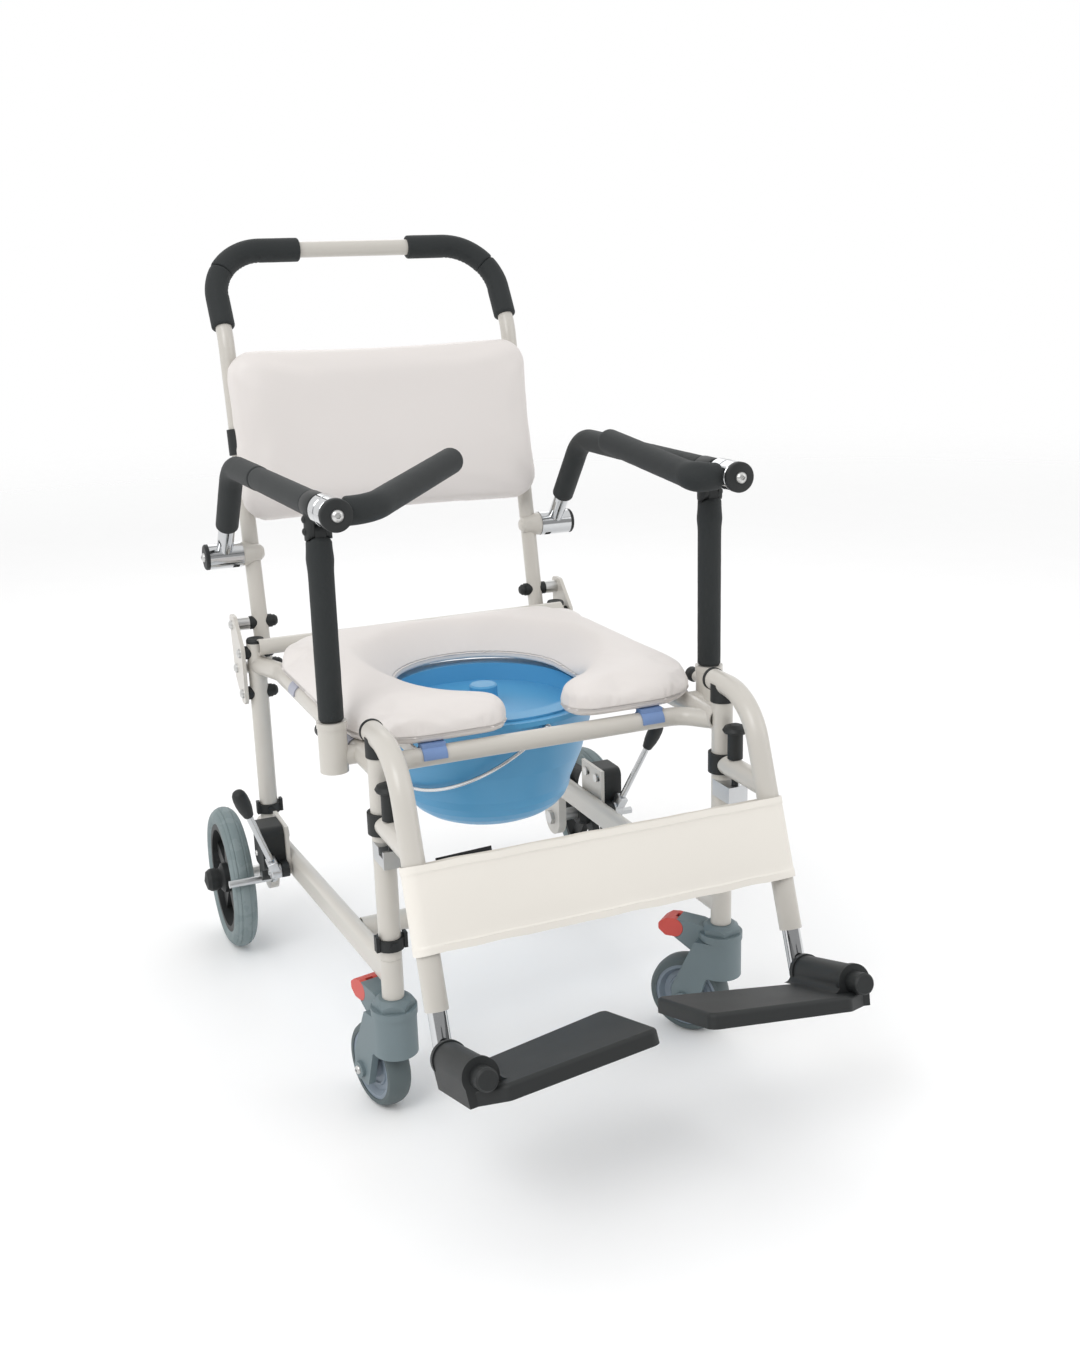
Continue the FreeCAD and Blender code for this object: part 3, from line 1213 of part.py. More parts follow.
def safety_bar(rest):
    """Foam-covered bar on its knuckle, swung inwards by the rest angle."""
    eye = V(BAR_PIVOT_X, BAR_PIVOT_Y, ARM_Z)
    rise = math.radians(BAR_RISE)
    along = V(0, math.cos(rise), math.sin(rise))
    tip = eye + along * BAR_LENGTH
    radius = BAR_R
    shoulder = tip - along * radius * 0.5
    end = turned(shoulder, along, [(0, 0), (0, radius), (radius * 0.35, radius * 0.86),
                                   (radius * 0.5, radius * 0.5), (radius * 0.5, 0)])
    bar = fused(rod(eye, shoulder, radius), Part.makeSphere(radius, eye), end)
    half = Z * (BAR_TONGUE_T / 2 + SEAT_GAP)
    wide = BAR_EYE_R + SEAT_GAP
    bar = bar.cut(rod(eye - half, eye + half, wide))
    for share in (0.0, 0.5, 1.0):
        way = box(eye - half - Y * wide, eye + half + V(radius * 2, wide, 0))
        bar = bar.cut(turn(way, eye, Z, -BAR_SWING * share))
    grip = Z * radius * 0.7
    bar = fused(bar, rod(eye - grip, eye + grip, BAR_PIN_R))
    return turn(bar, eye, Z, rest)


# Seat pad

def half_seat_outline(inset):
    """Edges of the left half of the horseshoe, from the rear middle round to the back of the opening."""
    edge_x = SEAT_HALF - inset
    rear = SEAT_REAR - inset
    front = SEAT_FRONT + inset
    lobe = V(SEAT_GAP_HALF + SEAT_LOBE_R, SEAT_FRONT + SEAT_LOBE_R, 0)
    neck_x = SEAT_HOLE_R - SEAT_NECK_R
    reach = SEAT_NECK_R + SEAT_LOBE_R
    neck = V(neck_x, lobe.y + math.sqrt(reach ** 2 - (lobe.x - neck_x) ** 2), 0)
    toward = unit(neck - lobe)
    join = lobe + toward * (SEAT_LOBE_R - inset)
    lobe_middle = lobe + unit(V(-1, -0.35, 0)) * (SEAT_LOBE_R - inset)
    side = SEAT_HOLE_R + inset
    neck_middle = neck + unit(V(1, 0, 0) - toward) * (SEAT_NECK_R + inset)
    rear_c = V(SEAT_HALF - SEAT_REAR_CORNER, SEAT_REAR - SEAT_REAR_CORNER, 0)
    front_c = V(SEAT_HALF - SEAT_FRONT_CORNER, SEAT_FRONT + SEAT_FRONT_CORNER, 0)
    rear_r = SEAT_REAR_CORNER - inset
    front_r = SEAT_FRONT_CORNER - inset
    slant = math.sqrt(0.5)
    hole = V(0, SEAT_HOLE_Y, 0)

    def line(a, b):
        return Part.LineSegment(a, b).toShape()

    def arc(a, b, c):
        return Part.Arc(a, b, c).toShape()

    return [
        line(V(0, rear, 0), V(rear_c.x, rear, 0)),
        arc(V(rear_c.x, rear, 0), rear_c + V(slant, slant, 0) * rear_r, V(edge_x, rear_c.y, 0)),
        line(V(edge_x, rear_c.y, 0), V(edge_x, front_c.y, 0)),
        arc(V(edge_x, front_c.y, 0), front_c + V(slant, -slant, 0) * front_r, V(front_c.x, front, 0)),
        line(V(front_c.x, front, 0), V(lobe.x, front, 0)),
        arc(V(lobe.x, front, 0), lobe_middle, join),
        arc(join, neck_middle, V(side, neck.y, 0)),
        line(V(side, neck.y, 0), V(side, SEAT_HOLE_Y, 0)),
        arc(V(side, SEAT_HOLE_Y, 0), hole + V(slant, slant, 0) * side, V(0, SEAT_HOLE_Y + side, 0)),
    ]


def seat_section(inset, z):
    """Closed horseshoe outline at one height."""
    left = half_seat_outline(inset)
    edges = left + [edge.mirror(V(0, 0, 0), X) for edge in reversed(left)]
    wire = Part.Wire(Part.__sortEdges__(edges))
    wire.translate(Z * z)
    return wire


def seat_bottom():
    """Underside of the pad, resting on the side rails."""
    return SEAT_RAIL_Z + POST_R + SEAT_GAP


def seat_dish():
    """Space over the slope round the opening, where the cushion thins to its inner edge."""
    top = seat_bottom() + SEAT_THICK
    start = V(SEAT_HOLE_R, 0, seat_bottom() + SEAT_EDGE)
    end = V(SEAT_HOLE_R + SEAT_DISH, 0, top)
    middle = (start + end) * 0.5 + unit(V(start.z - end.z, 0, SEAT_DISH)) * SEAT_DISH_BOW
    above = Z * SEAT_EDGE
    spots = [end, end + above, V(0, 0, top) + above, V(0, 0, start.z), start]
    edges = [Part.Arc(start, middle, end).toShape()]
    edges += [Part.LineSegment(a, b).toShape() for a, b in zip(spots, spots[1:])]
    dish = Part.Face(Part.Wire(edges)).revolve(V(0, 0, 0), Z, 360)
    dish.translate(V(0, SEAT_HOLE_Y, 0))
    return dish


def seat_pad():
    """Crowned horseshoe cushion, thinner round the opening and recessed round its clips."""
    steps = [(0.0, 0.15), (0.06, 0.04), (0.22, 0.0), (0.55, 0.02), (0.74, 0.11), (0.87, 0.25), (0.95, 0.41),
             (1.0, 0.62)]
    wires = [seat_section(inset * SEAT_THICK, seat_bottom() + share * SEAT_THICK) for share, inset in steps]
    pad = Part.makeLoft(wires, True, True).cut(seat_dish())
    for clip in seat_clips():
        pad = pad.cut(clip)
    return pad


def seat_clip(centre, along, radius):
    """Clip over a tube, open below so that the pad lifts off."""
    inner = radius + SEAT_GAP
    outer = inner + CLIP_WALL
    half = along * (CLIP_LENGTH / 2)
    across = along.cross(Z)
    shell = fused(rod(centre - half, centre + half, outer),
                  slab(centre, half, across * outer, -CLIP_DROP))
    shell = shell.cut(rod(centre - half, centre + half, inner))
    shell = shell.cut(slab(centre, half, across * inner, -outer * 2))
    lower = slab(centre - Z * CLIP_DROP, half * 2, across * outer * 2, -outer * 2)
    shell = shell.cut(lower)
    rise = seat_bottom() - (centre.z + radius)
    if rise > CLIP_WALL:
        neck = slab(centre + Z * radius, half, across * radius * 0.6, rise)
        shell = fused(shell, neck.cut(rod(centre - half, centre + half, inner)))
    return shell


def slab(centre, half, across, height):
    """Block about a line, reaching from the line up or down by height."""
    corners = [centre - half - across, centre + half - across, centre + half + across, centre - half + across]
    return Part.Face(Part.makePolygon(corners + corners[:1])).extrude(Z * height)


def seat_clips():
    """Clips under the pad: two on each side rail and two on the front tube."""
    pieces = []
    for y in CLIP_SIDE_Y:
        pieces += both(seat_clip(V(SEAT_RAIL_X, y, SEAT_RAIL_Z), Y, POST_R))
    pieces += both(seat_clip(V(CLIP_FRONT_X, FRONT_TUBE_Y, FRONT_TUBE_Z), X, BACK_R))
    return pieces


# Pan

def pan_axis(z):
    """Point on the pan's axis."""
    return V(0, PAN_Y, z)


def pan_bottom(inset):
    """Height and radius of the lower wall and the round bottom, drawn in by inset."""
    steps = [(PAN_MID_Z, PAN_MID_R - inset)]
    for index in range(PAN_ROUND_STEPS + 1):
        angle = math.radians(90.0 * index / PAN_ROUND_STEPS)
        height = PAN_ROUND_Z - (PAN_ROUND_Z - PAN_FLOOR_Z - inset) * math.sin(angle)
        steps.append((height, PAN_FLOOR_R + (PAN_ROUND_R - PAN_FLOOR_R - inset) * math.cos(angle)))
    return steps + [(PAN_FLOOR_Z + inset, 0)]


def pan():
    """Bucket with a flange round its rim and two ears for the bail."""
    rim = PAN_RIM_Z
    under = rim - PAN_FLANGE_T
    wall = PAN_WALL
    outside = [(rim, PAN_TOP_R - wall), (rim, PAN_FLANGE_R), (under, PAN_FLANGE_R), (under, PAN_TOP_R)]
    outside += pan_bottom(0)
    body = turned(pan_axis(0), Z, outside + pan_bottom(wall)[::-1])
    ears = []
    for side in (-1, 1):
        along = bail_axis() * side
        start = pan_axis(BAIL_Z) + along * (PAN_TOP_R - wall * 2)
        ears.append(rod(start, pan_axis(BAIL_Z) + along * (BAIL_SPAN_R - BAIL_R - SEAT_GAP), BAIL_R * 2.2))
    inner = turned(pan_axis(0), Z, [(PAN_FLOOR_Z + wall, 0), (PAN_MID_Z, PAN_MID_R - wall),
                                    (rim, PAN_TOP_R - wall), (rim, 0)])
    return fused(body, *[ear.cut(inner) for ear in ears])


def pan_lid():
    """Lid with a sunk middle and a round knob."""
    seat = PAN_RIM_Z + SEAT_GAP
    floor = seat + LID_T - LID_WELL_DEPTH
    brim = LID_WELL_R + LID_WELL_DRAFT
    knob_side = LID_KNOB_TOP - LID_KNOB_EDGE
    profile = [(floor - LID_T, 0), (floor - LID_T, LID_WELL_R), (seat, brim), (seat, LID_R), (seat + LID_T, LID_R),
               (seat + LID_T, brim - LID_T), (floor, LID_WELL_R - LID_T), (floor, LID_KNOB_R),
               (knob_side, LID_KNOB_R - LID_KNOB_EDGE / 2), (LID_KNOB_TOP, LID_KNOB_R - LID_KNOB_EDGE * 1.5),
               (LID_KNOB_TOP, 0)]
    return turned(pan_axis(0), Z, profile)


def bail_axis():
    """Direction of the bail's hinge line, from the rear ear to the front ear."""
    twist = math.radians(BAIL_TWIST)
    return V(math.sin(twist), -math.cos(twist), 0)


def pan_bail():
    """Half-round wire bail, hanging against the pan's right side."""
    centre = pan_axis(BAIL_Z)
    along = bail_axis()
    out = unit(V(along.y, -along.x, 0))
    drop = math.radians(BAIL_DROP)
    down = out * math.cos(drop) - Z * math.sin(drop)
    ends = [centre + along * BAIL_SPAN_R, centre - along * BAIL_SPAN_R]
    path = Part.Wire([Part.Arc(ends[0], centre + down * BAIL_SPAN_R, ends[1]).toShape()])
    ring = Part.Wire([Part.Circle(ends[0], down, BAIL_R).toShape()])
    wire = path.makePipeShell([ring], True, True)
    eyes = []
    for end, side in zip(ends, (1, -1)):
        eyes.append(rod(end - along * BAIL_R * 0.98 * side, end + along * BAIL_R * side, BAIL_R * 2))
    return fused(wire, *eyes)


# Leg rests

def hanger_points():
    """Route of the leg rest tube, from over the front leg down to its open end."""
    return [V(FRONT_LEG_X, HANGER_BACK_Y, HANGER_Z), leg_point(HANGER_Z), leg_point(LEG_END_Z)]


def legrest_tube():
    """Bent leg rest tube with the stub that holds the latch."""
    points = hanger_points()
    hanger = bent_rod(points, [HANGER_BEND], POST_R)
    stub = rod(V(FRONT_LEG_X, FRONT_LEG_Y, LATCH_Z), leg_point(LATCH_Z), POST_R)
    leg = V(FRONT_LEG_X, FRONT_LEG_Y, LATCH_Z)
    stub = stub.cut(rod(leg - Z * POST_R * 2, leg + Z * POST_R * 2, CLAMP_R + SEAT_GAP))
    solid = fused(hanger, stub)
    solid = solid.cut(bent_rod(points, [HANGER_BEND], EXTENSION_R + SLIDE_FIT))
    pin = V(FRONT_LEG_X, LATCH_Y, LATCH_Z)
    return solid.cut(rod(pin - Z * POST_R * 2, pin + Z * POST_R * 2, LATCH_PIN_R + SLIDE_FIT))


def legrest_bush():
    """Black bush that seats the hanger on the leg, with a cap over the tube's back end."""
    leg = V(FRONT_LEG_X, FRONT_LEG_Y, LEG_TOP_Z)
    plug = rod(leg - Z * BUSH_PLUG, leg + Z * POST_R, POST_R - POST_WALL - SLIDE_FIT)
    saddle = rod(leg + Z * SEAT_GAP, V(leg.x, leg.y, HANGER_Z), BUSH_R)
    back = V(FRONT_LEG_X, HANGER_BACK_Y, HANGER_Z)
    cap = rod(back, back + Y * BUSH_CAP_T, POST_R + BUSH_CAP_LIP)
    solid = fused(plug, saddle).cut(bent_rod(hanger_points(), [HANGER_BEND], POST_R))
    return fused(solid, cap)


def latch():
    """Mushroom pull handle with its pin through the stub."""
    base = V(FRONT_LEG_X, LATCH_Y, LATCH_Z)
    stem_low = base + Z * (POST_R + SEAT_GAP)
    cap_low = V(base.x, base.y, LATCH_TOP_Z - LATCH_CAP_H)
    pin = rod(V(base.x, base.y, CATCH_TOP_Z - LATCH_BITE), stem_low + Z * WELD_OVERLAP, LATCH_PIN_R)
    stem = rod(stem_low, cap_low, LATCH_STEM_R)
    cap = turned(cap_low, Z, [(0, 0), (0, LATCH_CAP_R * 0.9), (LATCH_CAP_H * 0.3, LATCH_CAP_R),
                              (LATCH_CAP_H * 0.7, LATCH_CAP_R * 0.85), (LATCH_CAP_H, LATCH_CAP_R * 0.4),
                              (LATCH_CAP_H, 0)])
    return fused(pin, stem, cap)


def leg_catch():
    """Aluminium catch on the front of the leg, its notch open outwards for the latch pin."""
    leg = V(FRONT_LEG_X, FRONT_LEG_Y, 0)
    low = CATCH_TOP_Z - CATCH_H
    block = box(V(leg.x - POST_R, LATCH_Y - LATCH_PIN_R * 2, low), V(leg.x + POST_R, leg.y, CATCH_TOP_Z))
    block = block.cut(rod(leg + Z * low, leg + Z * CATCH_TOP_Z, POST_R))
    room = LATCH_PIN_R + SEAT_GAP * 2
    floor = CATCH_TOP_Z - LATCH_BITE - SEAT_GAP
    pin = V(leg.x, LATCH_Y, floor)
    notch = fused(rod(pin, pin + Z * CATCH_H, room), box(pin - Y * room, pin + V(POST_R * 2, room * 2, CATCH_H)))
    return max(block.cut(notch).Solids, key=lambda piece: piece.Volume)


def leg_clamp():
    """Black half clamp round the leg above the catch."""
    leg = V(FRONT_LEG_X, FRONT_LEG_Y, 0)
    return tube(leg + Z * CLAMP_LOW, leg + Z * CLAMP_HIGH, CLAMP_R, POST_R)


def foot_axis():
    """Where the leg's line meets the footplate's hinge line."""
    return leg_point(FOOT_AXIS_Z)


def foot_along():
    """Direction of the footplate's hinge line, forwards and up."""
    tilt = math.radians(FOOT_TILT)
    return V(0, -math.cos(tilt), math.sin(tilt))


def leg_extension():
    """Chrome extension with the hinge pin of the footplate."""
    end = foot_axis()
    along = unit(hanger_points()[1] - hanger_points()[2])
    top = leg_point(LEG_END_Z) + along * EXTENSION_INSERT
    pin = rod(end, end + foot_along() * (BARREL_START + BARREL_LENGTH), BARREL_PIN_R)
    return fused(rod(end, top, EXTENSION_R), Part.makeSphere(EXTENSION_R, end), pin)


def footplate():
    """Flip-up footplate with its barrel, modelled level and then tilted to rest."""
    start = V(0, -BARREL_START, 0)
    end = V(0, -BARREL_START - BARREL_LENGTH, 0)
    wall = V(BARREL_R, 0, 0)
    floor = -PLATE_DROP - PLATE_T
    ring = Y * BARREL_RING_LENGTH
    barrel = fused(rod(start, end, BARREL_R), box(end - wall + Z * floor, start + wall),
                   rod(end, end + ring, BARREL_R + BARREL_RING), rod(start - ring, start, BARREL_R + BARREL_RING))
    foot = V(-BARREL_R - PLATE_COVE, 0, -PLATE_DROP)
    crest = Z * PLATE_COVE
    cove = box(end + foot, start + foot + X * PLATE_COVE + crest)
    cove = cove.cut(rod(end + foot + crest, start + foot + crest, PLATE_COVE))
    outline = [V(0, -PLATE_BACK_OUTER, 0), V(-PLATE_REACH, -PLATE_BACK_INNER, 0),
               V(-PLATE_REACH, -PLATE_FRONT, 0), V(-BARREL_R, -PLATE_FRONT, 0),
               V(BARREL_R * 0.9, end.y + PLATE_EDGE, 0)]
    plate = rounded_outline(outline, PLATE_CORNER).extrude(Z * PLATE_T)
    top_edges = [edge for edge in plate.Edges if edge.BoundBox.ZMin > PLATE_T / 2]
    plate = plate.makeFillet(PLATE_EDGE, top_edges)
    plate.translate(Z * floor)
    knob_start = end - Y * SEAT_GAP
    knob = turned(end, Y * -1, [(0, 0), (0, FOOT_KNOB_R), (FOOT_KNOB_H - FOOT_KNOB_EDGE, FOOT_KNOB_R),
                                (FOOT_KNOB_H, FOOT_KNOB_R - FOOT_KNOB_EDGE), (FOOT_KNOB_H, 0)])
    solid = fused(barrel, cove, plate, knob).cut(rod(V(0, 0, 0), knob_start, BARREL_PIN_R + SLIDE_FIT))
    solid = turn(solid, V(0, 0, 0), Y, FOOT_CANT)
    solid = turn(solid, V(0, 0, 0), X, -FOOT_TILT)
    solid.translate(foot_axis())
    return solid


def calf_strap():
    """Vinyl band looped round both leg rest tubes."""
    along = unit(hanger_points()[2] - hanger_points()[1])

    def loop(radius):
        left = leg_point(STRAP_TOP_Z)
        right = V(-left.x, left.y, left.z)
        side = unit(along.cross(X)) * radius
        web = Part.Face(Part.makePolygon([left + side, left - side, right - side, right + side, left + side]))
        return fused(web.extrude(along * STRAP_HEIGHT), rod(left, left + along * STRAP_HEIGHT, radius),
                     rod(right, right + along * STRAP_HEIGHT, radius))

    inner = POST_R + SEAT_GAP
    return loop(inner + STRAP_T).cut(loop(inner))


def with_bolt_holes(shape):
    """Rear post with the holes of its bracket bolts."""
    for bolt in bracket_bolt_points()[len(BRACKET_BACK_BOLTS):]:
        shape = shape.cut(rod(V(0, bolt.y, bolt.z), V(bolt.x * 2, bolt.y, bolt.z), BRACKET_BOLT_R))
    return shape


def swivelled(shape, yaw):
    """A caster piece turned about its stem to its rest direction."""
    return turn(shape, V(FRONT_LEG_X, FRONT_LEG_Y, 0), Z, yaw)


def front_collar_foot():
    """Underside of the collar on the front leg."""
    return V(FRONT_LEG_X, FRONT_LEG_Y, FRONT_SHOULDER_Z + SEAT_GAP + FRONT_COLLAR_UP)


def rear_collar_foot():
    """Underside of the collar on the rear post."""
    return V(REAR_POST_X, REAR_POST_Y, REAR_SHOULDER_Z + SEAT_GAP + REAR_COLLAR_UP)


def nodes():
    """Every node's name and its solids."""
    made = {
        "base_rails": both(base_rail()) + [base_cross_tube()],
        "base_bolts": both(rear_axle()) + sum([both(brake_screw(p)) for p in brake_screw_points()], []),
        "brake_housings": both(brake_housing()),
        "seat_legs": both(front_leg()) + both(with_bolt_holes(rear_post())),
        "seat_rails": both(seat_rail()),
        "seat_cross_tubes": [front_seat_tube(), rear_cross_tube()],
        "leg_collars": both(leg_collar(front_collar_foot())) + both(leg_collar(rear_collar_foot())),
        "arm_sockets": both(arm_socket()),
        "pan_runners": both(pan_runner()),
        "back_brackets": both(bracket_plate()),
        "bracket_bolts": sum([both(piece) for piece in bracket_bolts()], []),
        "saddles_and_caps": sum([both(piece) for piece in bracket_saddles()], [])
        + both(post_cap()) + both(pad_clip()) + both(arm_end_cap()) + both(leg_clamp()),
        "backrest_tube": [backrest_tube()],
        "push_grips": both(push_grip()),
        "backrest_pad": [backrest_pad()],
        "arm_bosses": sum([both(piece) for piece in arm_boss()], []),
        "leg_catches": both(leg_catch()),
        "seat_pad": [seat_pad()],
        "seat_clips": seat_clips(),
        "pan": [pan()],
        "pan_lid": [pan_lid()],
        "pan_bail": [pan_bail()],
        "calf_strap": [calf_strap()],
    }
    pairs = {
        "rear_tyre": [rear_tyre()],
        "rear_rim": [rear_rim()],
        "brake_lever": brake_lever(),
        "brake_shoe": [brake_shoe()],
        "arm_plunger": [arm_plunger()],
        "arm_tube": [arm_tube()],
        "arm_grip": [arm_grip()],
        "arm_clamp": arm_clamp(),
        "arm_post": arm_post(),
        "legrest_tube": [legrest_tube()],
        "legrest_bush": [legrest_bush()],
        "latch": [latch()],
        "leg_extension": [leg_extension()],
        "footplate": [footplate()],
    }
    for name, solids in pairs.items():
        made[name + "_left"] = solids
        made[name + "_right"] = [mirrored(solid) for solid in solids]
    made["safety_bar_left"] = [safety_bar(BAR_REST_LEFT)]
    made["safety_bar_right"] = [mirrored(safety_bar(BAR_REST_RIGHT))]
    casters = {
        "caster_fork": [caster_fork()],
        "caster_wheel": caster_wheel(),
        "caster_pedal": [caster_pedal()],
    }
    for name, solids in casters.items():
        made[name + "_left"] = [swivelled(solid, CASTER_YAW_LEFT) for solid in solids]
        made[name + "_right"] = [mirrored(swivelled(solid, -CASTER_YAW_RIGHT)) for solid in solids]
    return made


os.makedirs("parts", exist_ok=True)
for name, solids in nodes().items():
    shape = solids[0] if len(solids) == 1 else Part.makeCompound(solids)
    shape.exportStep("parts/" + name + ".step")
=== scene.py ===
import math

import bmesh
import bpy
from mathutils import Matrix, Vector, noise


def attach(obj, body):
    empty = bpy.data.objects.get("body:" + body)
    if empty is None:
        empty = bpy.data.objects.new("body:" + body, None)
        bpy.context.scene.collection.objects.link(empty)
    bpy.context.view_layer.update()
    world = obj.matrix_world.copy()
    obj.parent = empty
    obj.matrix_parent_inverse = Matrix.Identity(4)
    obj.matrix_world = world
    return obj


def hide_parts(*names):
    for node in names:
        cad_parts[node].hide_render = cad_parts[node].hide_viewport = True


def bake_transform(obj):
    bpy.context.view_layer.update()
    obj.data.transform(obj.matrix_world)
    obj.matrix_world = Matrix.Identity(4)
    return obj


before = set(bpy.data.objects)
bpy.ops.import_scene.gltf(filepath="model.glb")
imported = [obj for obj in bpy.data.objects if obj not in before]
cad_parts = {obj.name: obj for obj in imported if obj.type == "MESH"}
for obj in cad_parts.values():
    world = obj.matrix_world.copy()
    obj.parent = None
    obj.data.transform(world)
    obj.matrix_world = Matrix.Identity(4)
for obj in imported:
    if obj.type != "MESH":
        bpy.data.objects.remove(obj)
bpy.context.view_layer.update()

# Wheeled commode chair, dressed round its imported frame. Metres, floor at Z = 0, the chair faces -Y,
# +X is the occupant's left. Pairs are made for both sides from the same sizes.

X = Vector((1, 0, 0))
Z = Vector((0, 0, 1))
SIDES = {"left": 1.0, "right": -1.0}

# Edges that bend more than this are drawn sharp
SHARP_EDGE = math.radians(32)
SOFT_EDGE = math.radians(40)
ROUND_EDGE = math.radians(50)
KNOB_EDGE = math.radians(60)

# Tubes and foam
BACK_R = 0.011
GRIP_R = 0.0145
POST_GRIP_R = 0.014
PUSH_GRIP_R = 0.016
FOAM_BORE = BACK_R + 0.0001
FOAM_LIP = 0.0032
FOAM_STEP = 0.0035
FOAM_AROUND = 40
FOAM_UNEVEN = 0.00012
FOAM_UNEVEN_SCALE = 90.0
FOAM_DOME_SHARE = 0.55
CREASE_PITCH = 0.0078
CREASE_DEPTH = 0.0011
CREASE_MIN_BEND = 4.0
CREASE_FULL_BEND = 14.0

# Backrest and push handle
BACK_X = 0.207
BACK_REF_Y = 0.346
BACK_REF_Z = 0.460
BACK_LEAN = math.radians(10.7)
HANDLE_KNEE_Z = 0.842
HANDLE_Y = 0.4884
HANDLE_Z = 0.956
HANDLE_CORNER_BEND = 0.072
PUSH_GRIP_START = 0.12
PUSH_GRIP_JOINT = 0.40
PUSH_GRIP_END_X = 0.080
PUSH_GRIP_STEP = 0.0004
PAD_WIDTH = 0.438
PAD_HEIGHT = 0.236
PAD_CENTRE_Z = 0.710
PAD_CORNER = 0.036
PAD_DRAW_IN = 0.003
PAD_STAND = 0.0003
PAD_SEAM_HEIGHT = 0.006
PAD_SEAM_LIP = 0.0006
PAD_SEAM_GROOVE = 0.0010
PAD_GATHER_REACH = 0.016
PAD_GATHER_DEPTH = 0.0005
PAD_GATHER_R = 0.05
PAD_PINNED = 0.006
PAD_SWELL = 0.0035
PAD_EASE = 16
PAD_LEVELS = [(0.0, 0.008), (0.002, 0.003), (0.009, 0.001), (0.024, 0.002), (0.031, 0.007),
              (0.0355, 0.016), (0.0375, 0.030)]

# Arms, posts and safety bars
ARM_PIVOT_Y = 0.358
ARM_PIVOT_Z = 0.556
ARM_REAR_X = 0.246
ARM_FRONT_X = 0.235
ARM_Z = 0.690
ARM_CORNER_Y = 0.252
ARM_FRONT_Y = -0.198
ARM_BEND = 0.062
ARM_FOAM_START = 0.058
ARM_FOAM_JOIN_Y = 0.115
ARM_FOAM_JOINT = 0.0002
ARM_FOAM_GAP = 0.0003
ARM_GRIP_STEP = 0.0007
ARM_CLAMP_Y = -0.124
ARM_CLAMP_WIDTH = 0.032
ARM_CLAMP_R = 0.0154
ARM_CLAMP_ROUND = 0.0022
ARM_CLAMP_EASE = 0.0006
ARM_CLAMP_EASE_SHARE = 0.3
ARM_CLAMP_BLOCK_R = 0.0148
CLAMP_FIT = 0.0004
CLAMP_FLARE = 0.005
CLAMP_AROUND = 24
ARM_HUB_R = 0.0165
ARM_HUB_LENGTH = 0.040
ARM_RING_SHARE = 0.46
ARM_RING_EDGE = 0.0008
ARM_RING_START = 0.0006
ARM_RING_DEPTH = 0.001
ARM_DISC_R = 0.0175
ARM_DISC_H = 0.008
# (share of the disc's depth, step in from its radius)
ARM_DISC_STEPS = ((0.55, 0.0), (0.62, 0.0007), (0.70, 0.0), (0.86, 0.0004), (1.0, 0.0022))
ARM_DISC_EDGE = 0.0006
ARM_CAP_END_X = 0.2733
POST_FOOT_EDGE = 0.001
POST_TOP_EDGE = 0.0005
POST_FOAM_TOP = 0.6535
POST_FOAM_BOTTOM = 0.4536
POST_FOOT_Z = 0.418
POST_PIVOT_Z = 0.664
POST_TONGUE_T = 0.012
POST_EYE_R = 0.0096
POST_EYE_SUNK = 0.004
POST_BULGE = 0.0011
POST_BULGE_DROP = 0.020
POST_BULGE_REACH = 0.009
POST_RIM_REACH = 0.012
POST_RIM_SHARE = 0.8
BAR_PIVOT_X = 0.192
BAR_PIVOT_Y = -0.172
BAR_R = 0.0155
BAR_LENGTH = 0.232
BAR_RISE = math.radians(5.0)
BAR_REST = {"left": 0.0, "right": math.radians(42.0)}
BAR_ROOT_X = 0.2205
BAR_BEND = 0.018
BAR_COVER = 0.005
BAR_BORE = 0.001

# Seat cushion
SEAT_BOTTOM = 0.4238
SEAT_HALF = 0.217
SEAT_FRONT = -0.168
SEAT_REAR = 0.255
SEAT_FRONT_CORNER = 0.078
SEAT_REAR_CORNER = 0.066
SEAT_THICK = 0.047
SEAT_HOLE_R = 0.105
SEAT_HOLE_Y = 0.042
SEAT_GAP_HALF = 0.036
SEAT_LOBE_R = 0.034
SEAT_NECK_R = 0.090
SEAT_EDGE = 0.013
SEAT_DISH = 0.056
SEAT_SEAM_HEIGHT = 0.0085
SEAT_SEAM_LIP = 0.0014
SEAT_SEAM_GROOVE = 0.0019
SEAT_GATHER_REACH = 0.020
SEAT_GATHER_DEPTH = 0.0018
# (x, y, reach) of the corners that pucker most
SEAT_GATHERS = ((SEAT_HALF - 0.03, SEAT_FRONT + 0.03, 0.075),
                (SEAT_GAP_HALF + 0.02, SEAT_FRONT + 0.02, 0.06))
SEAT_PINNED = 0.007
SEAT_SWELL = 0.0085
SEAT_EASE = 3
SEAT_LEVELS = [(0.0, 0.004), (0.002, 0.0015), (0.008, 0.001), (0.024, 0.002), (0.031, 0.006),
               (0.036, 0.013), (0.0385, 0.024)]

# Both cushions: outline, skin, stuffing, puckers and seam
OUTLINE_STEP = 0.006
SKIN_STEP = 0.005
SWELL_PRESSURE = 4.0
SWELL_FRAMES = 20
PUCKER_SCALE = 130
PUCKER_LEAST = 0.15
SIDE_FACING = 0.3

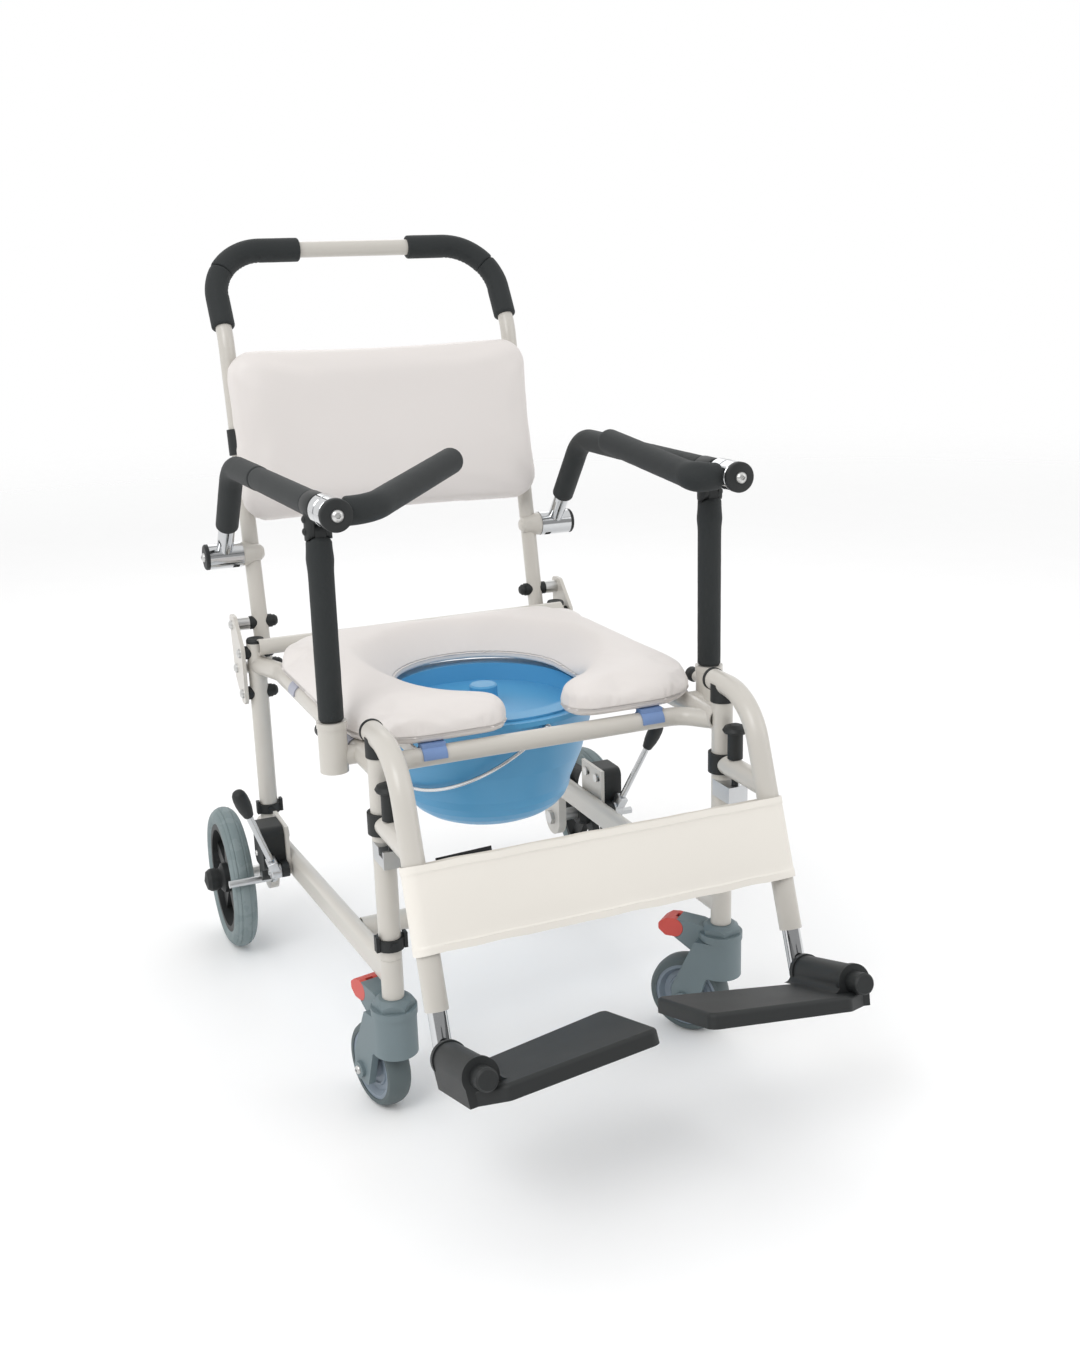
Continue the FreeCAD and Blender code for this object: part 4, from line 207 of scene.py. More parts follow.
# Calf strap
LEG_X = 0.209
LEG_REF_Y = -0.305
LEG_REF_Z = 0.348
LEG_LEAN = math.radians(20.4)
STRAP_TOP_Z = 0.346
STRAP_HEIGHT = 0.090
STRAP_T = 0.0016
STRAP_WRAP_R = 0.0139
STRAP_HEM = 0.009
STRAP_HEM_PROUD = 0.0006
STRAP_HEM_FULL = 0.0078
STRAP_HEM_FALL = 0.0012
STRAP_HEM_EASE = 0.0006
STRAP_HEM_STEPS = [0.0, 0.0008, 0.002, 0.004, 0.006, STRAP_HEM_FULL, STRAP_HEM - 0.0003,
                   STRAP_HEM + STRAP_HEM_EASE]
STRAP_BANDS = 12
STRAP_RUNS = 26
STRAP_TURNS = 20
STRAP_WAVE = 0.0011
STRAP_WAVE_REACH = 0.02
STRAP_PUFF = 0.0006
STRAP_PUFF_MARGIN = 0.01
STITCH_PITCH = 0.0049
STITCH_INSET = 0.0018
STITCH_START = 0.0025
STITCH_MARGIN = 0.006
STITCH_PROFILE = [(-0.0018, 0), (-0.0014, 0.00026), (0, 0.00032), (0.0014, 0.00026), (0.0018, 0)]
TAPE_X = 0.118
TAPE_LENGTH = 0.062
TAPE_T = 0.0014
TAPE_STAND = 0.0018
TAPE_LIFT = 0.0045
TAPE_SLOPE = 0.0022
TAPE_EDGE = 0.0006
TAPE_DOWNS = (0.02, 0.04)
TAPE_COLUMNS = 12

# Pan
PAN_Y = 0.029
BAIL_Z = 0.403
BAIL_SPAN_R = 0.147
BAIL_TWIST = math.radians(9.0)
BAIL_SCREW_STAND = 0.0025

# Brakes
BRAKE_FACE_X = 0.23395
BRAKE_Y = 0.204
HOUSING_X = 0.030
LEVER_Y = 0.167
LEVER_Z = 0.165
LEVER_BARREL_R = 0.010
LEVER_BARREL_LENGTH = 0.014
LEVER_ROD_R = 0.0045
LEVER_REACH = Vector((0.042, -0.035, 0.114))
LEVER_GAP = 0.0003
LEVER_BARREL_EDGE = 0.001
# (stand out of the barrel, radius)
LEVER_PIN_STEPS = ((0.0, 0.0045), (0.0025, 0.0042), (0.003, 0))
LEVER_CUBE_AT = 0.011
LEVER_CUBE_HALVES = (0.0066, 0.0085, 0.009)
LEVER_ROD_START = 0.004
LEVER_ROD_IN_KNOB = 0.01
LEVER_KNOB_R = 0.010
LEVER_KNOB_LENGTH = 0.044
# (share of the knob's length, share of its radius)
LEVER_KNOB_SHARES = ((0.0, 0), (0.0, 0.58), (0.02, 0.66), (0.10, 0.74), (0.30, 0.92), (0.50, 1.0),
                     (0.72, 0.98), (0.86, 0.88), (0.94, 0.70), (0.985, 0.42), (1.0, 0))

# Wheels
WHEEL_X = 0.281
AXLE_Y = 0.329
AXLE_Z = 0.100
TYRE_R = 0.100
TYRE_BED_R = 0.077
TYRE_HALF = 0.016
TYRE_SHOULDER = 0.011
TYRE_STEPS = 40
TYRE_GROOVES = (0.0062, 0.0108)
TYRE_GROOVE_DEPTH = 0.0011
TYRE_GROOVE_WIDTH = 0.0007
# (share of the half width, height over the bed)
TYRE_BEAD = ((0.8, 0.0), (0.93, 0.004), (0.95, 0.0048))
CASTER_LEG_Y = -0.204
CASTER_R = 0.050
CASTER_TRAIL = 0.040
CASTER_HALF = 0.014
CASTER_BED_R = 0.040
CASTER_BORE_R = 0.0052
CASTER_CAP_FACE = 0.029
CASTER_YAW = {"left": math.radians(40.0), "right": math.radians(12.0)}
# (share of the half width, radius), from the bore out
CASTER_HUB_STEPS = ((0.55, 0.0150), (0.50, 0.0165), (0.50, 0.0215), (0.62, 0.0225), (0.62, 0.0245),
                    (0.50, 0.0255), (0.50, 0.0310), (0.80, 0.0345), (0.92, 0.0360), (0.92, CASTER_BED_R))
CASTER_BOSS_R = 0.0115
CASTER_BOSS_EDGE_R = 0.0125
CASTER_BOSS_EDGE = 0.0008
CASTER_TREAD_STEPS = ((1.0, CASTER_BED_R), (1.0, 0.0450), (0.86, 0.0472), (0.55, 0.0492))

# Screws
SCREW_AROUND = 24
SCREW_HEAD = [(0.0, 1.0), (0.16, 1.0), (0.40, 0.86), (0.58, 0.58), (0.62, 0.50)]
SCREW_SOCKET_R = 0.38
SCREW_SOCKET_HEIGHTS = (0.62, 0.28)
ARM_SCREW_R = 0.0068
ARM_CAP_SCREW_R = 0.0062
CASTER_SCREW_R = 0.0052
CLAMP_SCREW_R = 0.0042
CLAMP_SCREW_SUNK = 0.0006
CLAMP_SCREW_DROPS = (-0.013, -0.026)
BAIL_SCREW_R = 0.0042
BRAKE_SCREW_R = 0.0040
# (from the middle of the housing, height)
BRAKE_SCREWS = ((-0.016, 0.206), (0.016, 0.206), (0.014, 0.174))


# Camera, light and floor

EYE = Vector((-0.620371, -1.619253, 0.932060))
EYE_AZIMUTH = math.radians(-22.959)
EYE_ELEVATION = math.radians(15.860)
EYE_ROLL = math.radians(-1.6533)
EYE_LENS = 38.905
EYE_SENSOR = 36.0
# (place on the ramp, grey)
SURROUND_GREYS = ((0.0, 0.42), (1.0, 1.0))
SURROUND_BY_HEIGHT = 1.2
SURROUND_RAISE = 0.55
# (place, size, power)
LIGHTS = {"key_light": ((-1.9, -1.5, 2.5), 1.6, 34.0), "fill_light": ((2.3, -1.7, 1.5), 1.8, 12.0),
          "back_light": ((0.6, 2.3, 2.2), 1.6, 8.0)}
LIGHT_TARGET = (0, 0, 0.5)
FLOOR_HALF = 12.0
FLOOR_FADE = (2.0, 7.0)


def photo_camera():
    """Camera at the photograph's viewpoint."""
    camera = bpy.data.objects.new("photo_camera", bpy.data.cameras.new("photo_camera"))
    bpy.context.collection.objects.link(camera)
    camera.data.sensor_width = EYE_SENSOR
    camera.data.lens = EYE_LENS
    back = Vector((math.sin(EYE_AZIMUTH) * math.cos(EYE_ELEVATION),
                   -math.cos(EYE_AZIMUTH) * math.cos(EYE_ELEVATION), math.sin(EYE_ELEVATION)))
    level = Vector((math.cos(EYE_AZIMUTH), math.sin(EYE_AZIMUTH), 0))
    rise = back.cross(level)
    across = level * math.cos(EYE_ROLL) + rise * math.sin(EYE_ROLL)
    upward = rise * math.cos(EYE_ROLL) - level * math.sin(EYE_ROLL)
    pose = Matrix((across, upward, back)).transposed().to_4x4()
    pose.translation = EYE
    camera.matrix_world = pose
    bpy.context.scene.camera = camera


def soft_light(name, place, target, size, power):
    """Square softbox that faces a point."""
    lamp = bpy.data.lights.new(name, "AREA")
    lamp.shape = "SQUARE"
    lamp.size = size
    lamp.energy = power
    holder = bpy.data.objects.new(name, lamp)
    bpy.context.collection.objects.link(holder)
    holder.location = place
    holder.rotation_euler = (Vector(target) - Vector(place)).to_track_quat("-Z", "Y").to_euler()


def surround():
    """Surround that is white behind and over the chair, and greyer behind the viewer and below."""
    world = bpy.data.worlds.new("studio")
    world.use_nodes = True
    tree = world.node_tree
    backdrop = tree.nodes["Background"]
    backdrop.inputs["Strength"].default_value = 1.0
    view = tree.nodes.new("ShaderNodeTexCoord")
    parts = tree.nodes.new("ShaderNodeSeparateXYZ")
    tree.links.new(view.outputs["Generated"], parts.inputs["Vector"])
    shades = tree.nodes.new("ShaderNodeValToRGB")
    shades.color_ramp.interpolation = "EASE"
    for stop, (place, grey) in zip(shades.color_ramp.elements, SURROUND_GREYS):
        stop.position = place
        stop.color = (grey, grey, grey, 1.0)
    height = math_node(tree, "MULTIPLY", parts.outputs["Z"], SURROUND_BY_HEIGHT)
    raised = math_node(tree, "ADD", height, SURROUND_RAISE)
    tree.links.new(math_node(tree, "ADD", parts.outputs["Y"], raised), shades.inputs["Fac"])
    tree.links.new(shades.outputs["Color"], backdrop.inputs["Color"])
    bpy.context.scene.world = world


def studio():
    """White surround, three softboxes and a pale floor."""
    surround()
    bpy.context.scene.view_settings.view_transform = "Standard"
    for name, (place, size, power) in LIGHTS.items():
        soft_light(name, place, LIGHT_TARGET, size, power)
    floor = bpy.data.objects.new("floor", bpy.data.meshes.new("floor"))
    corners = [(x * FLOOR_HALF, y * FLOOR_HALF, 0) for x, y in ((-1, -1), (1, -1), (1, 1), (-1, 1))]
    floor.data.from_pydata(corners, [], [(0, 1, 2, 3)])
    bpy.context.collection.objects.link(floor)
    pale = finish("pale_floor", (0.955, 0.955, 0.955), 0.8, tone_amount=0.01)
    faded_edge(pale, *FLOOR_FADE)
    floor.data.materials.append(pale)


def faded_edge(floor_finish, near, far):
    """The floor gives way to the surround between two distances from the middle."""
    tree = floor_finish.node_tree
    place = tree.nodes.new("ShaderNodeTexCoord")
    distance = tree.nodes.new("ShaderNodeVectorMath")
    distance.operation = "LENGTH"
    tree.links.new(place.outputs["Object"], distance.inputs[0])
    fade = tree.nodes.new("ShaderNodeMapRange")
    fade.interpolation_type = "SMOOTHSTEP"
    fade.inputs["From Min"].default_value = near
    fade.inputs["From Max"].default_value = far
    tree.links.new(distance.outputs["Value"], fade.inputs["Value"])
    clear = tree.nodes.new("ShaderNodeBsdfTransparent")
    both = tree.nodes.new("ShaderNodeMixShader")
    output = next(node for node in tree.nodes if node.type == "OUTPUT_MATERIAL")
    surface = output.inputs["Surface"].links[0].from_socket
    tree.links.new(fade.outputs["Result"], both.inputs["Fac"])
    tree.links.new(surface, both.inputs[1])
    tree.links.new(clear.outputs["BSDF"], both.inputs[2])
    tree.links.new(both.outputs["Shader"], output.inputs["Surface"])


# Finishes

FRONT_CLIPS_Y = -0.125
FRONT_CLIPS_BLUE = (0.17, 0.27, 0.50)
DUST_GREY = (0.30, 0.35, 0.36)
DUST_SCALE = 45.0
DUST_DETAIL = 6.0
DUST_FROM = 0.56
DUST_SHARE = 0.22


def new_group(name, inputs, outputs):
    """Empty shader group with named sockets; gives the group and its two ends."""
    group = bpy.data.node_groups.new(name, "ShaderNodeTree")
    for label, kind, value in inputs:
        socket = group.interface.new_socket(label, in_out="INPUT", socket_type=kind)
        socket.default_value = value
    for label, kind in outputs:
        group.interface.new_socket(label, in_out="OUTPUT", socket_type=kind)
    return group, group.nodes.new("NodeGroupInput"), group.nodes.new("NodeGroupOutput")


def math_node(tree, operation, first, second):
    """One sum on values or sockets."""
    node = tree.nodes.new("ShaderNodeMath")
    node.operation = operation
    for socket, value in zip(node.inputs, (first, second)):
        if isinstance(value, (int, float)):
            socket.default_value = value
        else:
            tree.links.new(value, socket)
    return node.outputs[0]


def uneven_tone_group():
    """Colour that drifts a little lighter and darker over the surface, and a gloss that drifts with it."""
    group, start, end = new_group(
        "uneven_tone",
        [("Place", "NodeSocketVector", (0, 0, 0)), ("Colour", "NodeSocketColor", (1, 1, 1, 1)),
         ("Size", "NodeSocketFloat", 8.0), ("Amount", "NodeSocketFloat", 0.05),
         ("Roughness", "NodeSocketFloat", 0.5), ("Gloss drift", "NodeSocketFloat", 0.06)],
        [("Colour", "NodeSocketColor"), ("Roughness", "NodeSocketFloat")])
    links = group.links
    cloud = group.nodes.new("ShaderNodeTexNoise")
    cloud.inputs["Detail"].default_value = 4.0
    links.new(start.outputs["Place"], cloud.inputs["Vector"])
    links.new(start.outputs["Size"], cloud.inputs["Scale"])
    drift = math_node(group, "SUBTRACT", cloud.outputs["Fac"], 0.5)
    shift = math_node(group, "MULTIPLY", drift, start.outputs["Amount"])
    gain = math_node(group, "ADD", math_node(group, "MULTIPLY", shift, 2.0), 1.0)
    scale = group.nodes.new("ShaderNodeVectorMath")
    scale.operation = "SCALE"
    links.new(start.outputs["Colour"], scale.inputs[0])
    links.new(gain, scale.inputs["Scale"])
    links.new(scale.outputs["Vector"], end.inputs["Colour"])
    gloss = math_node(group, "MULTIPLY", drift, start.outputs["Gloss drift"])
    links.new(math_node(group, "ADD", math_node(group, "MULTIPLY", gloss, 2.0), start.outputs["Roughness"]),
              end.inputs["Roughness"])
    return group


def fine_grain_group():
    """Height of a fine moulded or sprayed surface."""
    group, start, end = new_group(
        "fine_grain", [("Place", "NodeSocketVector", (0, 0, 0)), ("Size", "NodeSocketFloat", 900.0),
                       ("Ripple size", "NodeSocketFloat", 120.0), ("Ripple share", "NodeSocketFloat", 0.3)],
        [("Height", "NodeSocketFloat")])
    links = group.links
    heights = []
    for label, detail in (("Size", 2.0), ("Ripple size", 1.0)):
        cloud = group.nodes.new("ShaderNodeTexNoise")
        cloud.inputs["Detail"].default_value = detail
        links.new(start.outputs["Place"], cloud.inputs["Vector"])
        links.new(start.outputs[label], cloud.inputs["Scale"])
        heights.append(cloud.outputs["Fac"])
    ripple = math_node(group, "MULTIPLY", heights[1], start.outputs["Ripple share"])
    links.new(math_node(group, "ADD", heights[0], ripple), end.inputs["Height"])
    return group


def pebble_grain_group():
    """Height of embossed vinyl: small soft pebbles with creases between them."""
    group, start, end = new_group(
        "pebble_grain", [("Place", "NodeSocketVector", (0, 0, 0)), ("Size", "NodeSocketFloat", 700.0)],
        [("Height", "NodeSocketFloat"), ("Crease", "NodeSocketFloat")])
    links = group.links
    cells = group.nodes.new("ShaderNodeTexVoronoi")
    cells.feature = "DISTANCE_TO_EDGE"
    links.new(start.outputs["Place"], cells.inputs["Vector"])
    links.new(start.outputs["Size"], cells.inputs["Scale"])
    ramp = group.nodes.new("ShaderNodeMapRange")
    ramp.inputs["From Max"].default_value = 0.35
    ramp.interpolation_type = "SMOOTHSTEP"
    links.new(cells.outputs["Distance"], ramp.inputs["Value"])
    links.new(ramp.outputs["Result"], end.inputs["Height"])
    links.new(math_node(group, "SUBTRACT", 1.0, ramp.outputs["Result"]), end.inputs["Crease"])
    return group


def pore_group():
    """Height of closed-cell foam: round pores of two sizes."""
    group, start, end = new_group(
        "foam_pores", [("Place", "NodeSocketVector", (0, 0, 0)), ("Size", "NodeSocketFloat", 650.0)],
        [("Height", "NodeSocketFloat"), ("Pore", "NodeSocketFloat")])
    links = group.links
    layers = []
    for factor in (1.0, 2.3):
        cells = group.nodes.new("ShaderNodeTexVoronoi")
        links.new(start.outputs["Place"], cells.inputs["Vector"])
        links.new(math_node(group, "MULTIPLY", start.outputs["Size"], factor), cells.inputs["Scale"])
        layers.append(cells.outputs["Distance"])
    height = math_node(group, "ADD", layers[0], math_node(group, "MULTIPLY", layers[1], 0.5))
    links.new(height, end.inputs["Height"])
    links.new(math_node(group, "LESS_THAN", layers[0], 0.25), end.inputs["Pore"])
    return group


GROUPS = {}


def shared_group(name):
    """A shared effect, built the first time that a finish asks for it."""
    makers = {"uneven_tone": uneven_tone_group, "fine_grain": fine_grain_group,
              "pebble_grain": pebble_grain_group, "foam_pores": pore_group}
    if name not in GROUPS:
        GROUPS[name] = makers[name]()
    return GROUPS[name]


def place_group(tree, name, place, **values):
    """A shared effect in one finish, with its own values."""
    node = tree.nodes.new("ShaderNodeGroup")
    node.node_tree = shared_group(name)
    tree.links.new(place, node.inputs["Place"])
    for label, value in values.items():
        node.inputs[label.replace("_", " ")].default_value = value
    return node


def finish(name, colour, roughness, metallic=0.0, tone_size=8.0, tone_amount=0.04, gloss_drift=0.05,
           grain="fine_grain", grain_size=900.0, grain_depth=0.05, grain_distance=0.0004, coat=0.0, sheen=0.0,
           second=None):
    """Procedural finish: drifting tone and gloss over an embossed grain.

    second(tree, place, colour) may mix in one more colour.
    """
    material = bpy.data.materials.new(name)
    material.use_nodes = True
    tree = material.node_tree
    shader = tree.nodes["Principled BSDF"]
    place = tree.nodes.new("ShaderNodeTexCoord").outputs["Object"]
    tone = place_group(tree, "uneven_tone", place, Colour=(*colour, 1.0), Size=tone_size, Amount=tone_amount,
                       Roughness=roughness, Gloss_drift=gloss_drift)
    shade = tone.outputs["Colour"]
    if second:
        shade = second(tree, place, shade)
    tree.links.new(shade, shader.inputs["Base Color"])
    tree.links.new(tone.outputs["Roughness"], shader.inputs["Roughness"])
    shader.inputs["Metallic"].default_value = metallic
    shader.inputs["Coat Weight"].default_value = coat
    shader.inputs["Sheen Weight"].default_value = sheen
    if grain_depth:
        emboss = place_group(tree, grain, place, Size=grain_size)
        bump = tree.nodes.new("ShaderNodeBump")
        bump.inputs["Strength"].default_value = grain_depth
        bump.inputs["Distance"].default_value = grain_distance
        tree.links.new(emboss.outputs["Height"], bump.inputs["Height"])
        tree.links.new(bump.outputs["Normal"], shader.inputs["Normal"])
    return material


def blended(tree, mask, low, high):
    """Colour that goes from low to high where the mask is one."""
    mix = tree.nodes.new("ShaderNodeMix")
    mix.data_type = "RGBA"
    tree.links.new(mask, mix.inputs["Factor"])
    for socket, value in ((mix.inputs[6], low), (mix.inputs[7], high)):
        if isinstance(value, tuple):
            socket.default_value = (*value, 1.0)
        else:
            tree.links.new(value, socket)
    return mix.outputs[2]


def front_clips_blue(tree, place, shade):
    """The two clips on the front tube are a stronger blue than those on the side rails."""
    split = tree.nodes.new("ShaderNodeSeparateXYZ")
    tree.links.new(place, split.inputs["Vector"])
    front = math_node(tree, "LESS_THAN", split.outputs["Y"], FRONT_CLIPS_Y)
    return blended(tree, front, shade, FRONT_CLIPS_BLUE)


def greyed_tread(tree, place, shade):
    """Dust held in the tyre, paler in patches."""
    dust = tree.nodes.new("ShaderNodeTexNoise")
    dust.inputs["Scale"].default_value = DUST_SCALE
    dust.inputs["Detail"].default_value = DUST_DETAIL
    tree.links.new(place, dust.inputs["Vector"])
    dusty = math_node(tree, "GREATER_THAN", dust.outputs["Fac"], DUST_FROM)
    return blended(tree, math_node(tree, "MULTIPLY", dusty, DUST_SHARE), shade, DUST_GREY)


FINISHES = {}


def make_finishes():
    """Every finish of the chair, by the slot that it dresses."""
    made = {
        "frame_paint": finish("greige_enamel", (0.57, 0.545, 0.50), 0.30, tone_amount=0.02, grain_size=700.0,
                              grain_depth=0.06, coat=0.15),
        "fastener_steel": finish("zinc_steel", (0.62, 0.62, 0.61), 0.36, 1.0, tone_size=60.0,
                                 tone_amount=0.08, gloss_drift=0.12, grain_size=1400.0, grain_depth=0.08),
        "black_plastic": finish("black_moulding", (0.0095, 0.0115, 0.0118), 0.56, tone_size=20.0,
                                tone_amount=0.12, grain_size=1500.0, grain_depth=0.22),
        "foam": finish("grip_foam", (0.0135, 0.0168, 0.0175), 0.74, tone_size=30.0, tone_amount=0.12,
                       grain="foam_pores", grain_size=520.0, grain_depth=0.30, grain_distance=0.0006,
                       sheen=0.03),
        "pad_vinyl": finish("pad_vinyl", (0.745, 0.705, 0.68), 0.46, tone_size=5.0, tone_amount=0.018,
                            grain="pebble_grain", grain_size=620.0, grain_depth=0.10, grain_distance=0.0003),
        "strap_vinyl": finish("strap_vinyl", (0.80, 0.765, 0.705), 0.44, tone_size=6.0, tone_amount=0.02,
                              grain="pebble_grain", grain_size=780.0, grain_depth=0.07,
                              grain_distance=0.0003),
        "chrome": finish("chrome_plate", (0.58, 0.59, 0.60), 0.09, 1.0, tone_size=25.0, tone_amount=0.03,
                         gloss_drift=0.03, grain_size=300.0, grain_depth=0.015),
        "aluminium": finish("brushed_aluminium", (0.56, 0.57, 0.58), 0.32, 1.0, tone_size=40.0,
                            tone_amount=0.06, gloss_drift=0.1, grain_size=1200.0, grain_depth=0.10),
        "pan_blue": finish("pan_plastic", (0.095, 0.36, 0.63), 0.33, tone_size=6.0, tone_amount=0.03,
                           grain_size=500.0, grain_depth=0.04),
        "bail_wire": finish("bail_wire", (0.70, 0.71, 0.72), 0.22, 1.0, tone_size=60.0, tone_amount=0.05,
                            grain_size=900.0, grain_depth=0.03),
        "clip_plastic": finish("clip_plastic", (0.375, 0.391, 0.468), 0.40, tone_size=30.0, tone_amount=0.05,
                               grain_size=900.0, grain_depth=0.06, second=front_clips_blue),
        "tyre_grey": finish("tyre_rubber", (0.178, 0.225, 0.232), 0.66, tone_size=30.0, tone_amount=0.08,
                            grain_size=800.0, grain_depth=0.22, second=greyed_tread),
        "caster_grey": finish("caster_nylon", (0.150, 0.196, 0.212), 0.45, tone_size=20.0, tone_amount=0.06,
                              grain_size=1000.0, grain_depth=0.12),
        "caster_tread": finish("caster_rubber", (0.085, 0.110, 0.115), 0.60, tone_size=30.0, tone_amount=0.10,
                               grain_size=800.0, grain_depth=0.18),
        "pedal_red": finish("pedal_plastic", (0.58, 0.070, 0.055), 0.38, tone_size=30.0, tone_amount=0.06,
                            grain_size=900.0, grain_depth=0.08),
        "hub_grey": finish("caster_hub_plastic", (0.200, 0.245, 0.295), 0.42, tone_size=25.0,
                           tone_amount=0.06, grain_size=900.0, grain_depth=0.10),
        "hook_tape": finish("hook_tape", (0.012, 0.013, 0.015), 0.85, tone_size=200.0, tone_amount=0.35,
                            grain="foam_pores", grain_size=900.0, grain_depth=0.8, grain_distance=0.0008),
        "thread": finish("sewing_thread", (0.80, 0.77, 0.72), 0.75, tone_size=300.0, tone_amount=0.08,
                         grain_size=2500.0, grain_depth=0.2),
    }
    FINISHES.update(made)


def dress_frame_nodes():
    """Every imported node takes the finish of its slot."""
    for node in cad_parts.values():
        for holder in node.material_slots:
            if holder.material and holder.material.name in FINISHES:
                holder.material = FINISHES[holder.material.name]


# Mesh helpers

def piece_from(name, mesh_points, faces, slot, finish_name=None):
    """New smooth piece at the origin, from points and faces."""
    mesh = bpy.data.meshes.new(name)
    mesh.from_pydata([tuple(point) for point in mesh_points], [], faces)
    piece = smooth(bpy.data.objects.new(name, mesh))
    bpy.context.collection.objects.link(piece)
    mesh.materials.append(FINISHES[finish_name or slot])
    return piece


def smooth(piece):
    """Smooth shading on every face."""
    piece.data.polygons.foreach_set("use_smooth", [True] * len(piece.data.polygons))
    return piece


def ring_faces(first, rings, around, looped=False):
    """Faces between rings of points that follow one another; looped joins the last ring to the first."""
    faces = []
    for ring in range(rings if looped else rings - 1):
        a, b = (first + ring) * around, (first + (ring + 1) % rings) * around
        for k in range(around):
            n = (k + 1) % around
            faces.append((a + k, a + n, b + n, b + k))
    return faces


def end_faces(first, rings, around):
    """Lids on the first and the last of the rings."""
    start, last = first * around, (first + rings - 1) * around
    return [tuple(reversed(range(start, start + around))), tuple(range(last, last + around))]


def outward(piece, sharp=None):
    """Merge doubles, turn faces outwards, and crease the edges that bend more than sharp."""
    skin = bmesh.new()
    skin.from_mesh(piece.data)
    bmesh.ops.remove_doubles(skin, verts=skin.verts, dist=1e-6)
    bmesh.ops.recalc_face_normals(skin, faces=skin.faces)
    if sharp is not None:
        for edge in skin.edges:
            edge.smooth = not edge.is_manifold or edge.calc_face_angle(0.0) < sharp
    skin.to_mesh(piece.data)
    skin.free()
    return piece


def rounded_route(corners, bends, step):
    """Points along a bent tube's centre line, each inner corner rounded to its bend."""
    points = []

    def run(a, b):
        count = max(1, round((b - a).length / step))
        return [a.lerp(b, index / count) for index in range(count)]

    start = corners[0]
    for before, corner, after, bend in zip(corners, corners[1:], corners[2:], bends):
        back = (before - corner).normalized()
        ahead = (after - corner).normalized()
        half = back.angle(ahead) / 2
        enter = corner + back * (bend / math.tan(half))
        leave = corner + ahead * (bend / math.tan(half))
        centre = corner + (back + ahead).normalized() * (bend / math.sin(half))
        sweep = math.pi - 2 * half
        axis = (enter - centre).cross(leave - centre).normalized()
        count = max(4, round(sweep * bend / step))
        points += run(start, enter)
        points += [centre + Matrix.Rotation(sweep * i / count, 3, axis) @ (enter - centre)
                   for i in range(count)]
        start = leave
    return points + run(start, corners[-1]) + [corners[-1].copy()]


class Route:
    """A centre line with untwisted frames, read by distance."""

    def __init__(self, points):
        self.points = points
        self.lengths = [0.0]
        for a, b in zip(points, points[1:]):
            self.lengths.append(self.lengths[-1] + (b - a).length)
        last = len(points) - 1
        self.tangents = [(points[min(i + 1, last)] - points[max(i - 1, 0)]).normalized()
                         for i in range(last + 1)]
        side = any_across(self.tangents[0])
        self.sides = [side]
        for a, b in zip(self.tangents, self.tangents[1:]):
            side = a.rotation_difference(b) @ side
            side = (side - b * side.dot(b)).normalized()
            self.sides.append(side)
        self.bends = []
        for i in range(last + 1):
            low, high = max(i - 1, 0), min(i + 1, last)
            span = max(self.lengths[high] - self.lengths[low], 1e-9)
            self.bends.append((self.tangents[high] - self.tangents[low]) / span)

    @property
    def length(self):
        return self.lengths[-1]

    def at(self, distance):
        """Point, tangent, side and bend vector at a distance along the line."""
        distance = min(max(distance, 0.0), self.length)
        index = 0
        while index < len(self.lengths) - 2 and self.lengths[index + 1] < distance:
            index += 1
        span = self.lengths[index + 1] - self.lengths[index]
        share = (distance - self.lengths[index]) / span if span else 0.0
        tangent = self.tangents[index].lerp(self.tangents[index + 1], share).normalized()
        side = self.sides[index].lerp(self.sides[index + 1], share)
        side = (side - tangent * side.dot(tangent)).normalized()
        return (self.points[index].lerp(self.points[index + 1], share), tangent, side,
                self.bends[index].lerp(self.bends[index + 1], share))


def foam_radius(distance, direction, bend, radius):
    """Outside of a foam sleeve, creased inside a bend."""
    inside = max(0.0, direction.dot(bend.normalized())) if bend.length > CREASE_MIN_BEND else 0.0
    fold = 0.5 - 0.5 * math.cos(2 * math.pi * distance / CREASE_PITCH)
    return radius - CREASE_DEPTH * inside ** 2 * fold * min(1.0, bend.length / CREASE_FULL_BEND)


def foam_stations(length, bore, radius, closed):
    """(distance, radius) steps along a foam sleeve: a rounded lip, the even length, then a dome or a lip."""
    tip = radius * FOAM_DOME_SHARE if closed else FOAM_LIP
    stations = [(0.0, bore)]
    quarter = [math.radians(a) for a in (0, 22.5, 45, 67.5)]
    stations += [(FOAM_LIP * (1 - math.sin(a)), radius - FOAM_LIP * (1 - math.cos(a))) for a in
                 (math.pi / 2 - a for a in quarter)]
    count = max(2, round((length - FOAM_LIP - tip) / FOAM_STEP))
    body = [FOAM_LIP + (length - FOAM_LIP - tip) * i / count for i in range(count + 1)]
    stations += [(distance, radius) for distance in body]
    if closed:
        steps = 7
        arc = [math.pi / 2 * (i + 1) / steps for i in range(steps)]
        stations += [(length - tip + tip * math.sin(a), radius * (0.42 + 0.58 * math.cos(a))) for a in arc]
        stations += [(length, radius * 0.2)]
    else:
        stations += [(length - tip + tip * math.sin(a), radius - tip * (1 - math.cos(a))) for a in
                     (math.pi / 2 - a for a in reversed(quarter))]
        stations += [(length, bore)]
        inner = max(2, round(length / (FOAM_STEP * 3)))
        stations += [(length * (1 - i / inner), bore) for i in range(1, inner)]
    return stations


